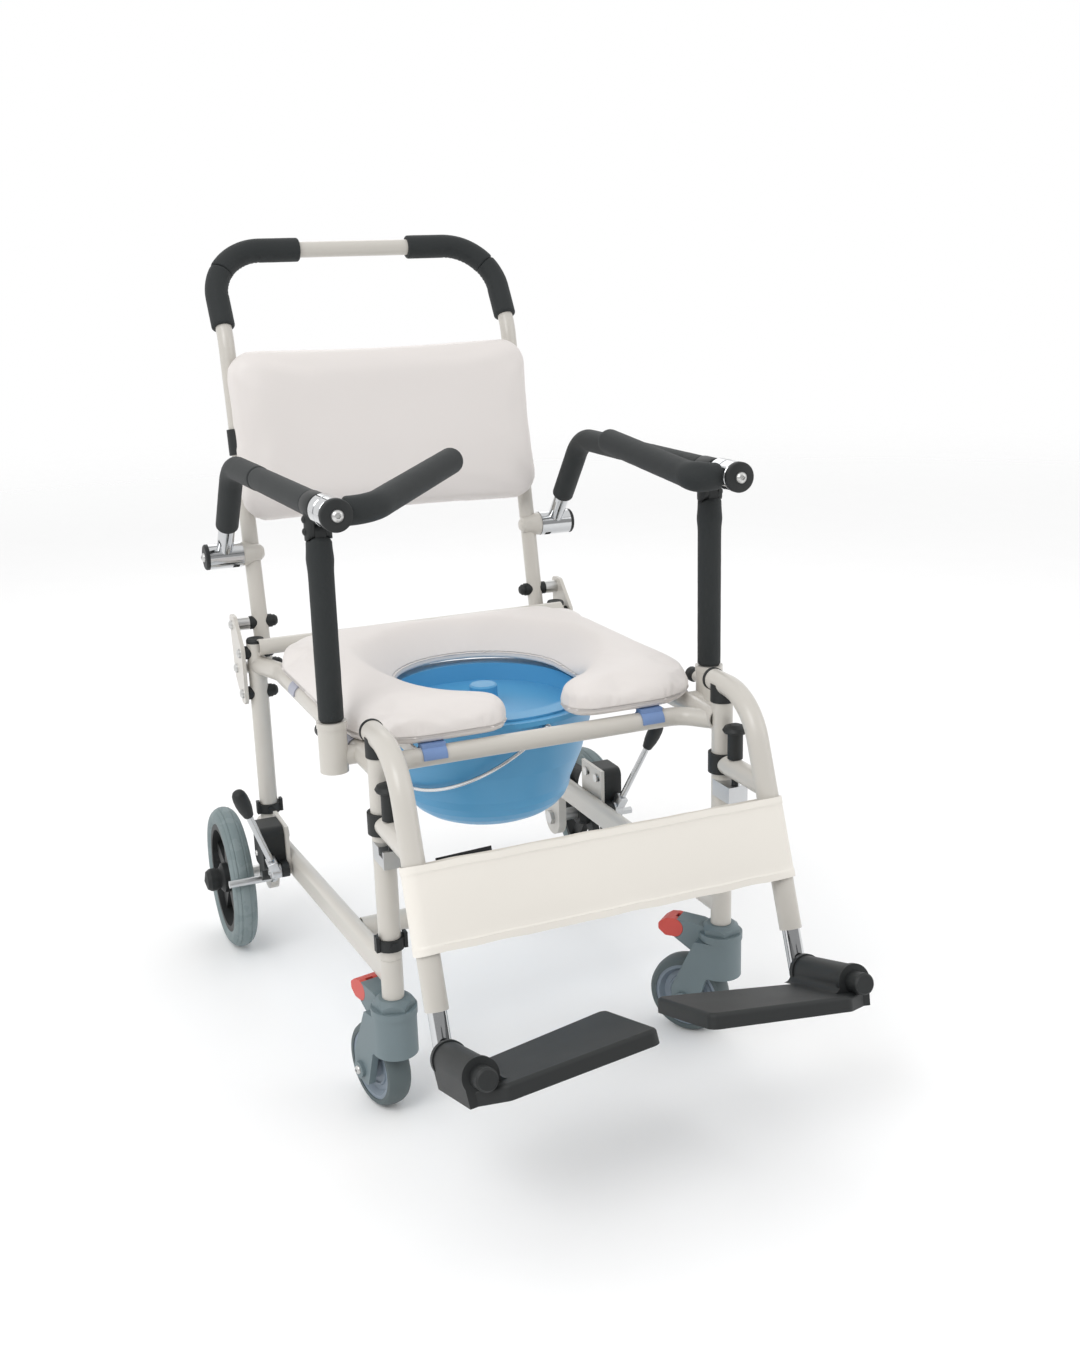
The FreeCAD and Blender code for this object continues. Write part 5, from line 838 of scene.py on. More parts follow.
def foam_sleeve(name, points, bore, radius, closed=False, swell=None):
    """Foam tube along a route, its ends rounded over; closed gives it a domed far end."""
    route = Route(points)
    stations = foam_stations(route.length, bore, radius, closed)
    mesh_points = []
    for distance, reach in stations:
        point, tangent, side, bend = route.at(distance)
        up = tangent.cross(side)
        for k in range(FOAM_AROUND):
            angle = 2 * math.pi * k / FOAM_AROUND
            direction = side * math.cos(angle) + up * math.sin(angle)
            grow = reach
            if reach > radius * 0.999:
                grow = foam_radius(distance, direction, bend, reach)
                grow += swell(point) if swell else 0.0
                grow += FOAM_UNEVEN * noise.noise(point * FOAM_UNEVEN_SCALE + direction * 3.0)
            mesh_points.append(point + direction * grow)
    faces = ring_faces(0, len(stations), FOAM_AROUND, looped=not closed)
    if closed:
        faces += end_faces(0, len(stations), FOAM_AROUND)
    return outward(piece_from(name, mesh_points, faces, "foam"))


def any_across(facing):
    """A direction square to another."""
    return facing.cross(Z if abs(facing.z) < 0.9 else X).normalized()


def lathe(name, origin, axis, profile, slot, segments=72, finish_name=None, sharp=SHARP_EDGE):
    """Turned piece through (along, radius) steps about an axis.

    A profile that keeps off the axis at both ends is closed to a ring.
    """
    axis = axis.normalized()
    side = any_across(axis)
    up = axis.cross(side)
    mesh_points, rings = [], []
    for along, radius in profile:
        centre = origin + axis * along
        if radius < 1e-6:
            rings.append([len(mesh_points)])
            mesh_points.append(centre)
            continue
        rings.append(list(range(len(mesh_points), len(mesh_points) + segments)))
        for k in range(segments):
            angle = 2 * math.pi * k / segments
            mesh_points.append(centre + (side * math.cos(angle) + up * math.sin(angle)) * radius)
    faces = []
    pairs = list(zip(rings, rings[1:]))
    if len(rings[0]) > 1 and len(rings[-1]) > 1:
        pairs.append((rings[-1], rings[0]))
    for a, b in pairs:
        for k in range(segments):
            n = (k + 1) % segments
            corner = [a[k % len(a)], a[n % len(a)], b[n % len(b)], b[k % len(b)]]
            faces.append(tuple(dict.fromkeys(corner)))
    return outward(piece_from(name, mesh_points, faces, slot, finish_name), sharp)


def block(name, centre, axes, halves, slot, bevel=0.0012):
    """Box about a point along three directions, its edges rounded."""
    corners = bmesh.new()
    bmesh.ops.create_cube(corners, size=2.0)
    bmesh.ops.scale(corners, vec=halves, verts=corners.verts)
    bmesh.ops.bevel(corners, geom=corners.edges[:], offset=bevel, segments=3, affect="EDGES", profile=0.5)
    corners.verts.index_update()
    points = [centre + axes[0] * v.co.x + axes[1] * v.co.y + axes[2] * v.co.z for v in corners.verts]
    faces = [tuple(v.index for v in face.verts) for face in corners.faces]
    corners.free()
    return outward(piece_from(name, points, faces, slot), SHARP_EDGE)


def both_sides(steps, between=()):
    """(along, radius) steps, then some between, then the first ones mirrored on the way back."""
    return [*steps, *between, *((-along, radius) for along, radius in reversed(steps))]


def mirrored(points, sign):
    """Points of the left side, or of the right where the sign is negative."""
    return [Vector((point.x * sign, point.y, point.z)) for point in points]


def settled(piece):
    """Replaces a piece's mesh by what its modifiers make of it."""
    depsgraph = bpy.context.evaluated_depsgraph_get()
    mesh = bpy.data.meshes.new_from_object(piece.evaluated_get(depsgraph))
    piece.modifiers.clear()
    piece.data = mesh
    return piece


# Repeated pieces: screws and stitches

def repeat_tree():
    """Geometry Nodes that set one shape on every point, turned to its directions and a little at random."""
    tree = bpy.data.node_groups.new("repeat_on_points", "GeometryNodeTree")
    for label, kind in (("Points", "Geometry"), ("Shape", "Object"), ("Finish", "Material"),
                        ("Turn", "Float"), ("Seed", "Int")):
        tree.interface.new_socket(label, in_out="INPUT", socket_type="NodeSocket" + kind)
    tree.interface.new_socket("Repeats", in_out="OUTPUT", socket_type="NodeSocketGeometry")
    nodes, link = tree.nodes, tree.links.new
    start, end = nodes.new("NodeGroupInput"), nodes.new("NodeGroupOutput")
    shape = nodes.new("GeometryNodeObjectInfo")
    link(start.outputs["Shape"], shape.inputs["Object"])
    turned = None
    for label, axis, pivot in (("along", "X", "AUTO"), ("facing", "Z", "X")):
        align = nodes.new("FunctionNodeAlignRotationToVector")
        align.axis = axis
        align.pivot_axis = pivot
        link(read_attribute(nodes, label, "FLOAT_VECTOR"), align.inputs["Vector"])
        if turned:
            link(turned, align.inputs["Rotation"])
        turned = align.outputs["Rotation"]
    chance = nodes.new("FunctionNodeRandomValue")
    chance.data_type = "FLOAT"
    link(start.outputs["Turn"], next(socket for socket in chance.inputs if socket.identifier == "Max_001"))
    link(start.outputs["Seed"], chance.inputs["Seed"])
    spin = nodes.new("FunctionNodeAxisAngleToRotation")
    link(chance.outputs[1], spin.inputs["Angle"])
    both = nodes.new("FunctionNodeRotateRotation")
    both.rotation_space = "LOCAL"
    link(turned, both.inputs["Rotation"])
    link(spin.outputs["Rotation"], both.inputs["Rotate By"])
    copies = nodes.new("GeometryNodeInstanceOnPoints")
    link(start.outputs["Points"], copies.inputs["Points"])
    link(shape.outputs["Geometry"], copies.inputs["Instance"])
    link(both.outputs["Rotation"], copies.inputs["Rotation"])
    link(read_attribute(nodes, "size", "FLOAT"), copies.inputs["Scale"])
    whole = nodes.new("GeometryNodeRealizeInstances")
    link(copies.outputs["Instances"], whole.inputs["Geometry"])
    paint = nodes.new("GeometryNodeSetMaterial")
    link(whole.outputs["Geometry"], paint.inputs["Geometry"])
    link(start.outputs["Finish"], paint.inputs["Material"])
    link(paint.outputs["Geometry"], end.inputs["Repeats"])
    return tree


def read_attribute(nodes, name, kind):
    """Socket of a named value on the points."""
    reader = nodes.new("GeometryNodeInputNamedAttribute")
    reader.data_type = kind
    reader.inputs["Name"].default_value = name
    return reader.outputs["Attribute"]


REPEAT = {}


def repeated(name, shape, spots, slot, finish_name=None, turn=0.0, seed=1):
    """One piece with a copy of a shape on every (place, facing, along, size) spot."""
    if "tree" not in REPEAT:
        REPEAT["tree"] = repeat_tree()
    piece = piece_from(name, [spot[0] for spot in spots], [], slot, finish_name)
    for column, label in enumerate(("facing", "along", "size"), start=1):
        kind = "FLOAT" if label == "size" else "FLOAT_VECTOR"
        values = piece.data.attributes.new(label, kind, "POINT")
        for item, spot in zip(values.data, spots):
            setattr(item, "value" if label == "size" else "vector", spot[column])
    modifier = piece.modifiers.new("repeats", "NODES")
    modifier.node_group = REPEAT["tree"]
    given = {"Shape": shape, "Finish": FINISHES[finish_name or slot], "Turn": turn, "Seed": seed}
    for item in REPEAT["tree"].interface.items_tree:
        if item.in_out == "INPUT" and item.name in given:
            modifier[item.identifier] = given[item.name]
    return outward(smooth(settled(piece)), SHARP_EDGE)


def screw_shape():
    """Button-head screw of unit radius with a hexagon socket, head up along Z."""
    angles = [2 * math.pi * k / SCREW_AROUND for k in range(SCREW_AROUND)]
    points = [Vector((radius * math.cos(angle), radius * math.sin(angle), height))
              for height, radius in SCREW_HEAD for angle in angles]
    for height in SCREW_SOCKET_HEIGHTS:
        for angle in angles:
            reach = SCREW_SOCKET_R * math.cos(math.pi / 6) / math.cos((angle % (math.pi / 3)) - math.pi / 6)
            points.append(Vector((reach * math.cos(angle), reach * math.sin(angle), height)))
    rings = len(SCREW_HEAD) + len(SCREW_SOCKET_HEIGHTS)
    faces = ring_faces(0, rings, SCREW_AROUND) + end_faces(0, rings, SCREW_AROUND)
    return outward(piece_from("screw_shape", points, faces, "fastener_steel"), SHARP_EDGE)


def screws():
    """Every loose screw head that shows, one piece for each body that carries some."""
    shape = screw_shape()
    ahead = (arm_at(ARM_FRONT_Y) - arm_at(ARM_FRONT_Y + ARM_DISC_H)).normalized()
    cheeks = [arm_at(ARM_CLAMP_Y) + Vector((ARM_CLAMP_BLOCK_R - CLAMP_SCREW_SUNK, 0, drop))
              for drop in CLAMP_SCREW_DROPS]
    for side, sign in SIDES.items():
        front = [(*mirrored([arm_at(ARM_FRONT_Y), ahead], sign), ARM_SCREW_R)]
        clamp = [(*mirrored([cheek, X], sign), CLAMP_SCREW_R) for cheek in cheeks]
        centre, axis = caster_place(side, sign)
        caps = [(centre + axis * way * CASTER_CAP_FACE, axis * way, CASTER_SCREW_R) for way in (-1, 1)]
        place_screws("arm_screw_" + side, shape, front, "fastener_steel", "arm_" + side)
        place_screws("clamp_screws_" + side, shape, clamp, "black_plastic", "arm_" + side)
        place_screws("caster_screws_" + side, shape, caps, "fastener_steel", "caster_fork_" + side)
    hinges = [(Vector((ARM_CAP_END_X * sign, ARM_PIVOT_Y, ARM_PIVOT_Z)), X * sign, ARM_CAP_SCREW_R)
              for sign in SIDES.values()]
    housings = [(Vector(((BRAKE_FACE_X + HOUSING_X) * sign, BRAKE_Y + y, z)), X * sign, BRAKE_SCREW_R)
                for sign in SIDES.values() for y, z in BRAKE_SCREWS]
    along = Vector((math.sin(BAIL_TWIST), -math.cos(BAIL_TWIST), 0))
    ends = [(Vector((0, PAN_Y, BAIL_Z)) + along * way * (BAIL_SPAN_R + BAIL_SCREW_STAND), along * way,
             BAIL_SCREW_R) for way in (-1, 1)]
    place_screws("frame_screws", shape, hinges, "fastener_steel", "seat_frame")
    place_screws("base_screws", shape, housings, "fastener_steel", "base")
    place_screws("bail_screws", shape, ends, "fastener_steel", "pan_bail")
    bpy.data.objects.remove(shape)


def place_screws(name, shape, spots, slot, body):
    """Screw heads on (place, facing, radius) spots of one body."""
    full = [(place, facing, any_across(facing), size) for place, facing, size in spots]
    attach(repeated(name, shape, full, slot, turn=math.pi, seed=11), body)


# Foam grips

def back_y(z):
    """Centre of the leaning backrest tube at a given height."""
    return BACK_REF_Y + (z - BACK_REF_Z) * math.tan(BACK_LEAN)


def push_grips():
    """Foam round both corners of the push handle."""
    knee = Vector((BACK_X, back_y(HANDLE_KNEE_Z), HANDLE_KNEE_Z))
    corner = Vector((BACK_X, HANDLE_Y, HANDLE_Z))
    end = Vector((PUSH_GRIP_END_X, HANDLE_Y, HANDLE_Z))
    for side, sign in SIDES.items():
        corners = mirrored([knee.lerp(corner, PUSH_GRIP_START), corner, end], sign)
        route = rounded_route(corners, [HANDLE_CORNER_BEND], FOAM_STEP)
        joint = round(len(route) * PUSH_GRIP_JOINT)
        low = foam_sleeve("push_foam_low_" + side, route[:joint + 1], FOAM_BORE, PUSH_GRIP_R)
        high = foam_sleeve("push_foam_high_" + side, route[joint:], FOAM_BORE, PUSH_GRIP_R + PUSH_GRIP_STEP)
        for grip in (low, high):
            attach(grip, "seat_frame")
        if side == "left":
            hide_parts("push_grips")


def arm_at(y):
    """Point on the straight run of the left arm."""
    share = (y - ARM_CORNER_Y) / (ARM_FRONT_Y - ARM_CORNER_Y)
    return Vector((ARM_REAR_X + share * (ARM_FRONT_X - ARM_REAR_X), y, ARM_Z))


def arm_grips():
    """Two lengths of foam on each arm: one round the bend, one forward to the clamp."""
    pivot = Vector((ARM_REAR_X, ARM_PIVOT_Y, ARM_PIVOT_Z))
    corner = Vector((ARM_REAR_X, ARM_CORNER_Y, ARM_Z))
    start = pivot + (corner - pivot).normalized() * ARM_FOAM_START
    for side, sign in SIDES.items():
        bent = rounded_route(mirrored([start, corner, arm_at(ARM_FOAM_JOIN_Y)], sign), [ARM_BEND], FOAM_STEP)
        rear = foam_sleeve("arm_foam_rear_" + side, bent, FOAM_BORE, GRIP_R + ARM_GRIP_STEP)
        ends = [arm_at(ARM_FOAM_JOIN_Y - ARM_FOAM_JOINT),
                arm_at(ARM_CLAMP_Y + ARM_CLAMP_WIDTH / 2 + ARM_FOAM_GAP)]
        straight = rounded_route(mirrored(ends, sign), [], FOAM_STEP)
        front = foam_sleeve("arm_foam_front_" + side, straight, FOAM_BORE, GRIP_R)
        for grip in (rear, front):
            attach(grip, "arm_" + side)
        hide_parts("arm_grip_" + side)


def post_bulge(point):
    """The foam of an arm post is pushed out a little under its clamp."""
    return POST_BULGE * math.exp(-((point.z - POST_FOAM_TOP + POST_BULGE_DROP) / POST_BULGE_REACH) ** 2)


def raised_rim(foam):
    """Top of a post's foam, pushed up in front and behind to follow the round foot of the clamp."""
    round_r = POST_PIVOT_Z - POST_FOAM_TOP
    for vertex in foam.data.vertices:
        off = min(abs(vertex.co.y - ARM_CLAMP_Y), round_r * POST_RIM_SHARE)
        share = max(0.0, 1 - (POST_FOAM_TOP - vertex.co.z) / POST_RIM_REACH)
        vertex.co.z += share * (round_r - math.sqrt(round_r ** 2 - off ** 2))


def arm_posts():
    """Each arm post: its foam, and the steel tube with the flat eye that the foam is on."""
    for side, sign in SIDES.items():
        x = arm_at(ARM_CLAMP_Y).x * sign
        line = [Vector((x, ARM_CLAMP_Y, z)) for z in (POST_FOAM_BOTTOM, POST_FOAM_TOP)]
        foam = foam_sleeve("arm_post_foam_" + side, rounded_route(line, [], FOAM_STEP), FOAM_BORE,
                           POST_GRIP_R, swell=post_bulge)
        raised_rim(foam)
        tube = lathe("arm_post_tube_" + side, Vector((x, ARM_CLAMP_Y, 0)), Z,
                     [(POST_FOOT_Z, 0), (POST_FOOT_Z, BACK_R - POST_FOOT_EDGE),
                      (POST_FOOT_Z + POST_FOOT_EDGE, BACK_R), (POST_FOAM_TOP - POST_TOP_EDGE, BACK_R),
                      (POST_FOAM_TOP, BACK_R - POST_TOP_EDGE), (POST_FOAM_TOP, 0)], "chrome", segments=40)
        eye = flat_eye("arm_post_eye_" + side, x)
        for piece in (foam, tube, eye):
            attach(piece, "arm_post_" + side)
        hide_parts("arm_post_" + side)


def flat_eye(name, x):
    """Flat tongue on top of an arm post, rounded over the clamp bolt."""
    low = POST_FOAM_TOP - POST_EYE_SUNK
    outline = [(-POST_EYE_R, low), (POST_EYE_R, low)]
    steps = 18
    for k in range(steps + 1):
        angle = math.pi * k / steps
        outline.append((POST_EYE_R * math.cos(angle), POST_PIVOT_Z + POST_EYE_R * math.sin(angle)))
    half = POST_TONGUE_T / 2
    points = [Vector((x + s * half, ARM_CLAMP_Y + y, z)) for s in (-1, 1) for y, z in outline]
    faces = ring_faces(0, 2, len(outline)) + end_faces(0, 2, len(outline))
    return outward(piece_from(name, points, faces, "black_plastic"), SHARP_EDGE)


def hub_ring_profile(start, width):
    """Section of one chrome ring on an arm's hub."""
    end, low, high = start + width, ARM_HUB_R - ARM_RING_DEPTH, ARM_HUB_R + ARM_RING_EDGE
    return [(start, low), (start, ARM_HUB_R), (start + ARM_RING_EDGE, high), (end - ARM_RING_EDGE, high),
            (end, ARM_HUB_R), (end, low)]


def disc_profile():
    """Section of the black disc on the front of an arm, with a groove round it."""
    rim = [(-ARM_DISC_H * share, ARM_DISC_R - step) for share, step in ARM_DISC_STEPS]
    return [(0.0, 0), (0.0, ARM_DISC_R - ARM_DISC_EDGE), (-ARM_DISC_EDGE, ARM_DISC_R), *rim, (-ARM_DISC_H, 0)]


def clamp_ring_profile():
    """Section of the ring of an arm clamp, rounded at both ends."""
    half = ARM_CLAMP_WIDTH / 2
    return both_sides([(-half, BACK_R), (-half, ARM_CLAMP_R - ARM_CLAMP_ROUND),
                       (-half + ARM_CLAMP_ROUND * ARM_CLAMP_EASE_SHARE, ARM_CLAMP_R - ARM_CLAMP_EASE),
                       (-half + ARM_CLAMP_ROUND, ARM_CLAMP_R)])


def arm_fronts():
    """Front of each arm: two rings on the hub, the disc, and the clamp that runs into the post's foam."""
    back = (arm_at(0) - arm_at(ARM_FRONT_Y)).normalized()
    width = ARM_HUB_LENGTH * ARM_RING_SHARE
    for side, sign in SIDES.items():
        hub = mirrored([arm_at(ARM_FRONT_Y + ARM_DISC_H), back], sign)
        rings = [lathe("arm_ring_%s_%s" % (name, side), *hub, hub_ring_profile(start, width), "chrome")
                 for name, start in (("front", ARM_RING_START), ("rear", ARM_HUB_LENGTH - width))]
        disc = lathe("arm_disc_" + side, *hub, disc_profile(), "black_plastic")
        ring = lathe("arm_clamp_ring_" + side, *mirrored([arm_at(ARM_CLAMP_Y), back], sign),
                     clamp_ring_profile(), "black_plastic")
        clamp = clamp_block("arm_clamp_block_" + side, arm_at(ARM_CLAMP_Y).x * sign)
        for piece in rings + [disc, ring, clamp]:
            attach(piece, "arm_" + side)
        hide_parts("arm_clamp_" + side)


def clamp_block(name, x):
    """Two cheeks of an arm clamp, round like the post and rounded under the bolt, the post's eye between."""
    cheek = math.acos((POST_TONGUE_T / 2 + CLAMP_FIT) / ARM_CLAMP_BLOCK_R)
    levels = [POST_PIVOT_Z - POST_EYE_R * math.cos(math.radians(a)) for a in (8, 20, 35, 50, 65, 80, 90)]
    levels += [POST_PIVOT_Z + (ARM_Z - POST_PIVOT_Z) * share for share in (0.2, 0.4, 0.6, 0.8, 1.0)]
    points, faces = [], []
    for way in SIDES.values():
        faces += end_faces(len(points) // CLAMP_AROUND, len(levels), CLAMP_AROUND)
        faces += ring_faces(len(points) // CLAMP_AROUND, len(levels), CLAMP_AROUND)
        for z in levels:
            below = max(0.0, POST_PIVOT_Z - z)
            above = max(0.0, (z - POST_PIVOT_Z) / (ARM_Z - POST_PIVOT_Z))
            flat = math.sqrt(max(POST_EYE_R ** 2 - below ** 2, 1e-8)) + CLAMP_FLARE * above
            for k in range(CLAMP_AROUND):
                angle = cheek * (2 * k / (CLAMP_AROUND - 1) - 1)
                y = max(-flat, min(flat, ARM_CLAMP_BLOCK_R * math.sin(angle)))
                points.append(Vector((x + way * ARM_CLAMP_BLOCK_R * math.cos(angle), ARM_CLAMP_Y + y, z)))
    return outward(piece_from(name, points, faces, "black_plastic"), SOFT_EDGE)


def brake_levers():
    """Each brake lever: barrel, clamp cube, rod and black knob."""
    half, edge = LEVER_BARREL_LENGTH / 2, LEVER_BARREL_EDGE
    stop = LEVER_REACH.length - LEVER_KNOB_LENGTH / 2
    barrel_side = both_sides([(-half, LEVER_BARREL_R - edge), (-half + edge, LEVER_BARREL_R)])
    pin = [(half + stand, radius) for stand, radius in LEVER_PIN_STEPS]
    rod_end = stop + LEVER_ROD_IN_KNOB
    rod_profile = [(LEVER_ROD_START, 0), (LEVER_ROD_START, LEVER_ROD_R), (rod_end, LEVER_ROD_R), (rod_end, 0)]
    knob_profile = [(a * LEVER_KNOB_LENGTH, b * LEVER_KNOB_R) for a, b in LEVER_KNOB_SHARES]
    pivot = Vector((BRAKE_FACE_X + LEVER_BARREL_R + LEVER_GAP, LEVER_Y, LEVER_Z))
    for side, sign in SIDES.items():
        foot, along = mirrored([pivot + X * half, LEVER_REACH.normalized()], sign)
        barrel = lathe("brake_barrel_" + side, foot, X * sign, [(-half, 0), *barrel_side, *pin], "aluminium")
        turn = along.cross(X).normalized()
        cube = block("brake_cube_" + side, foot + along * LEVER_CUBE_AT, (turn.cross(along), turn, along),
                     LEVER_CUBE_HALVES, "aluminium")
        rod = lathe("brake_rod_" + side, foot, along, rod_profile, "chrome", segments=32)
        knob = lathe("brake_knob_" + side, foot + along * stop, along, knob_profile, "black_plastic",
                     segments=48, sharp=KNOB_EDGE)
        for piece in (barrel, cube, rod, knob):
            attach(piece, "brake_lever_" + side)
        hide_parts("brake_lever_" + side)


def safety_bar(side, sign):
    """Foam bar from the side of an arm's hub, bent round its hinge and domed at the tip."""
    root = Vector((BAR_ROOT_X, BAR_PIVOT_Y, ARM_Z))
    eye = Vector((BAR_PIVOT_X, BAR_PIVOT_Y, ARM_Z))
    along = Vector((0, math.cos(BAR_RISE), math.sin(BAR_RISE)))
    along = Matrix.Rotation(BAR_REST[side], 3, "Z") @ along
    corners = mirrored([root, eye, eye + along * BAR_LENGTH], sign)
    corner_cut = 1 / math.cos((math.pi / 2 - BAR_REST[side]) / 2) - 1
    bend = max(BAR_BEND, BAR_COVER / corner_cut)
    bulge = bend * corner_cut - BAR_COVER

    def knuckle_swell(point):
        return bulge * math.exp(-((point - corners[1]).length / BAR_R) ** 2)

    bar = foam_sleeve("safety_bar_foam_" + side, rounded_route(corners, [bend], FOAM_STEP), BAR_BORE, BAR_R,
                      closed=True, swell=knuckle_swell)
    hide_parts("safety_bar_" + side)
    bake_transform(bar)


def safety_bars():
    """The safety bars of both arms."""
    for side, sign in SIDES.items():
        safety_bar(side, sign)


# Cushions

def arc_points(centre, radius, start, end, step):
    """Points on an arc in the plane, without its last point."""
    count = max(3, round(abs(end - start) * radius / step))
    return [(centre[0] + radius * math.cos(start + (end - start) * i / count),
             centre[1] + radius * math.sin(start + (end - start) * i / count)) for i in range(count)]


def line_points(a, b, step):
    """Points on a line in the plane, without its last point."""
    count = max(1, round(math.dist(a, b) / step))
    return [(a[0] + (b[0] - a[0]) * i / count, a[1] + (b[1] - a[1]) * i / count) for i in range(count)]


def horseshoe(inset, step):
    """Closed outline of the seat, moved in by inset."""
    half = math.pi / 2
    edge = SEAT_HALF - inset
    rear = SEAT_REAR - inset
    front = SEAT_FRONT + inset
    lobe = (SEAT_GAP_HALF + SEAT_LOBE_R, SEAT_FRONT + SEAT_LOBE_R)
    neck_x = SEAT_HOLE_R - SEAT_NECK_R
    reach = SEAT_NECK_R + SEAT_LOBE_R
    neck = (neck_x, lobe[1] + math.sqrt(reach ** 2 - (lobe[0] - neck_x) ** 2))
    toward = math.atan2(neck[1] - lobe[1], neck[0] - lobe[0])
    rear_c = (SEAT_HALF - SEAT_REAR_CORNER, SEAT_REAR - SEAT_REAR_CORNER)
    front_c = (SEAT_HALF - SEAT_FRONT_CORNER, SEAT_FRONT + SEAT_FRONT_CORNER)
    inner = SEAT_HOLE_R + inset
    left = line_points((0, rear), (rear_c[0], rear), step)
    left += arc_points(rear_c, SEAT_REAR_CORNER - inset, half, 0, step)
    left += line_points((edge, rear_c[1]), (edge, front_c[1]), step)
    left += arc_points(front_c, SEAT_FRONT_CORNER - inset, 0, -half, step)
    left += line_points((front_c[0], front), (lobe[0], front), step)
    left += arc_points(lobe, SEAT_LOBE_R - inset, -half, toward - 2 * math.pi, step)
    left += arc_points(neck, SEAT_NECK_R + inset, toward - math.pi, 0, step)
    left += line_points((inner, neck[1]), (inner, SEAT_HOLE_Y), step)
    left += arc_points((0, SEAT_HOLE_Y), inner, 0, half, step)
    left.append((0, SEAT_HOLE_Y + inner))
    return left + [(-x, y) for x, y in reversed(left[1:-1])]


def back_outline(inset, step):
    """Closed outline of the backrest cushion, its sides drawn in between the corners."""
    wide = PAD_WIDTH / 2 - inset
    tall = PAD_HEIGHT / 2 - inset
    radius = PAD_CORNER - inset * 0.4
    turn = math.pi / 2
    points = []
    quarters = ((1, 1), (-1, 1), (-1, -1), (1, -1))
    centres = [(sx * (wide - radius), sy * (tall - radius)) for sx, sy in quarters]
    for index, centre in enumerate(centres):
        points += arc_points(centre, radius, turn * index, turn * (index + 1), step)
        out_x, out_y = math.cos(turn * (index + 1)), math.sin(turn * (index + 1))
        corners = (centre, centres[(index + 1) % len(centres)])
        run = line_points(*((x + radius * out_x, y + radius * out_y) for x, y in corners), step)
        for i, (x, y) in enumerate(run):
            bow = PAD_DRAW_IN * math.sin(math.pi * i / len(run))
            points.append((x - bow * out_x, y - bow * out_y))
    return points


def cushion_core(name, outline, levels):
    """Closed block through (height, inset) levels of one outline, still unstuffed."""
    count = len(outline(0.0, OUTLINE_STEP))
    points = [Vector((x, y, height)) for height, inset in levels
              for x, y in resampled(outline(inset, OUTLINE_STEP), count)]
    faces = ring_faces(0, len(levels), count) + end_faces(0, len(levels), count)
    return outward(piece_from(name, points, faces, "pad_vinyl"))


def resampled(ring, count):
    """The same closed line with a given number of evenly spaced points."""
    closed = ring + ring[:1]
    lengths = [0.0]
    for a, b in zip(closed, closed[1:]):
        lengths.append(lengths[-1] + math.dist(a, b))
    found, index = [], 0
    for k in range(count):
        want = lengths[-1] * k / count
        while lengths[index + 1] < want:
            index += 1
        share = (want - lengths[index]) / max(lengths[index + 1] - lengths[index], 1e-12)
        a, b = closed[index], closed[index + 1]
        found.append((a[0] + (b[0] - a[0]) * share, a[1] + (b[1] - a[1]) * share))
    return found


def stuffed(piece, pinned_below, cap, ease):
    """Swells a cushion from its core: an even skin, air pressure over a pinned base, then an easing.

    No point moves further than the cap.
    """
    skin = piece.modifiers.new("even_skin", "REMESH")
    skin.mode = "VOXEL"
    skin.voxel_size = SKIN_STEP
    settled(piece)
    start = [vertex.co.copy() for vertex in piece.data.vertices]
    base = piece.vertex_groups.new(name="base")
    base.add([v.index for v in piece.data.vertices if v.co.z < pinned_below], 1.0, "REPLACE")
    cloth = piece.modifiers.new("stuffing", "CLOTH")
    cloth.settings.vertex_group_mass = "base"
    cloth.settings.use_pressure = True
    cloth.settings.uniform_pressure_force = SWELL_PRESSURE
    cloth.settings.effector_weights.gravity = 0.0
    cloth.collision_settings.use_collision = False
    for step in range(1, SWELL_FRAMES + 1):
        bpy.context.scene.frame_set(step)
    settled(piece)
    piece.vertex_groups.clear()
    for vertex, was in zip(piece.data.vertices, start):
        move = vertex.co - was
        if move.length > cap:
            vertex.co = was + move * (cap / move.length)
    bpy.context.scene.frame_set(1)
    easing = piece.modifiers.new("even_out", "SMOOTH")
    easing.factor = 0.5
    easing.iterations = ease
    finer = piece.modifiers.new("finer_skin", "SUBSURF")
    finer.levels = 1
    finer.render_levels = 1
    return smooth(settled(piece))


def gathers(piece, height, reach, depth, centres):
    """Small puckers above the seam, deeper at the given corners."""
    for vertex in piece.data.vertices:
        over = vertex.co.z - height
        if not 0.0 < over < reach:
            continue
        out = Vector((vertex.normal.x, vertex.normal.y, 0))
        if out.length < SIDE_FACING:
            continue
        near = min(math.dist(vertex.co.xy, c[:2]) / c[2] for c in centres)
        share = max(PUCKER_LEAST, 1.0 - max(0.0, near - 0.6) / 0.6)
        pleat = noise.noise(Vector((vertex.co.x * PUCKER_SCALE, vertex.co.y * PUCKER_SCALE, 7.3)))
        fade = math.sin(math.pi * over / reach) * (1 - over / reach)
        vertex.co += out.normalized() * (depth * share * pleat * fade * 2.0)


def sewn_seam(piece, height, lip, groove):
    """Seam round a cushion at one height: a folded lip with a groove over it."""
    skin = bmesh.new()
    skin.from_mesh(piece.data)
    moves = {-0.0018: 0.0, -0.0006: lip, 0.0004: -groove, 0.0020: 0.0}
    for offset in moves:
        geometry = skin.verts[:] + skin.edges[:] + skin.faces[:]
        bmesh.ops.bisect_plane(skin, geom=geometry, plane_co=(0, 0, height + offset), plane_no=(0, 0, 1),
                               dist=1e-7)
    skin.normal_update()
    for vertex in skin.verts:
        for offset, move in moves.items():
            if move and abs(vertex.co.z - height - offset) < 2e-6:
                out = Vector((vertex.normal.x, vertex.normal.y, 0))
                if out.length > SIDE_FACING:
                    vertex.co += out.normalized() * move
    skin.to_mesh(piece.data)
    skin.free()


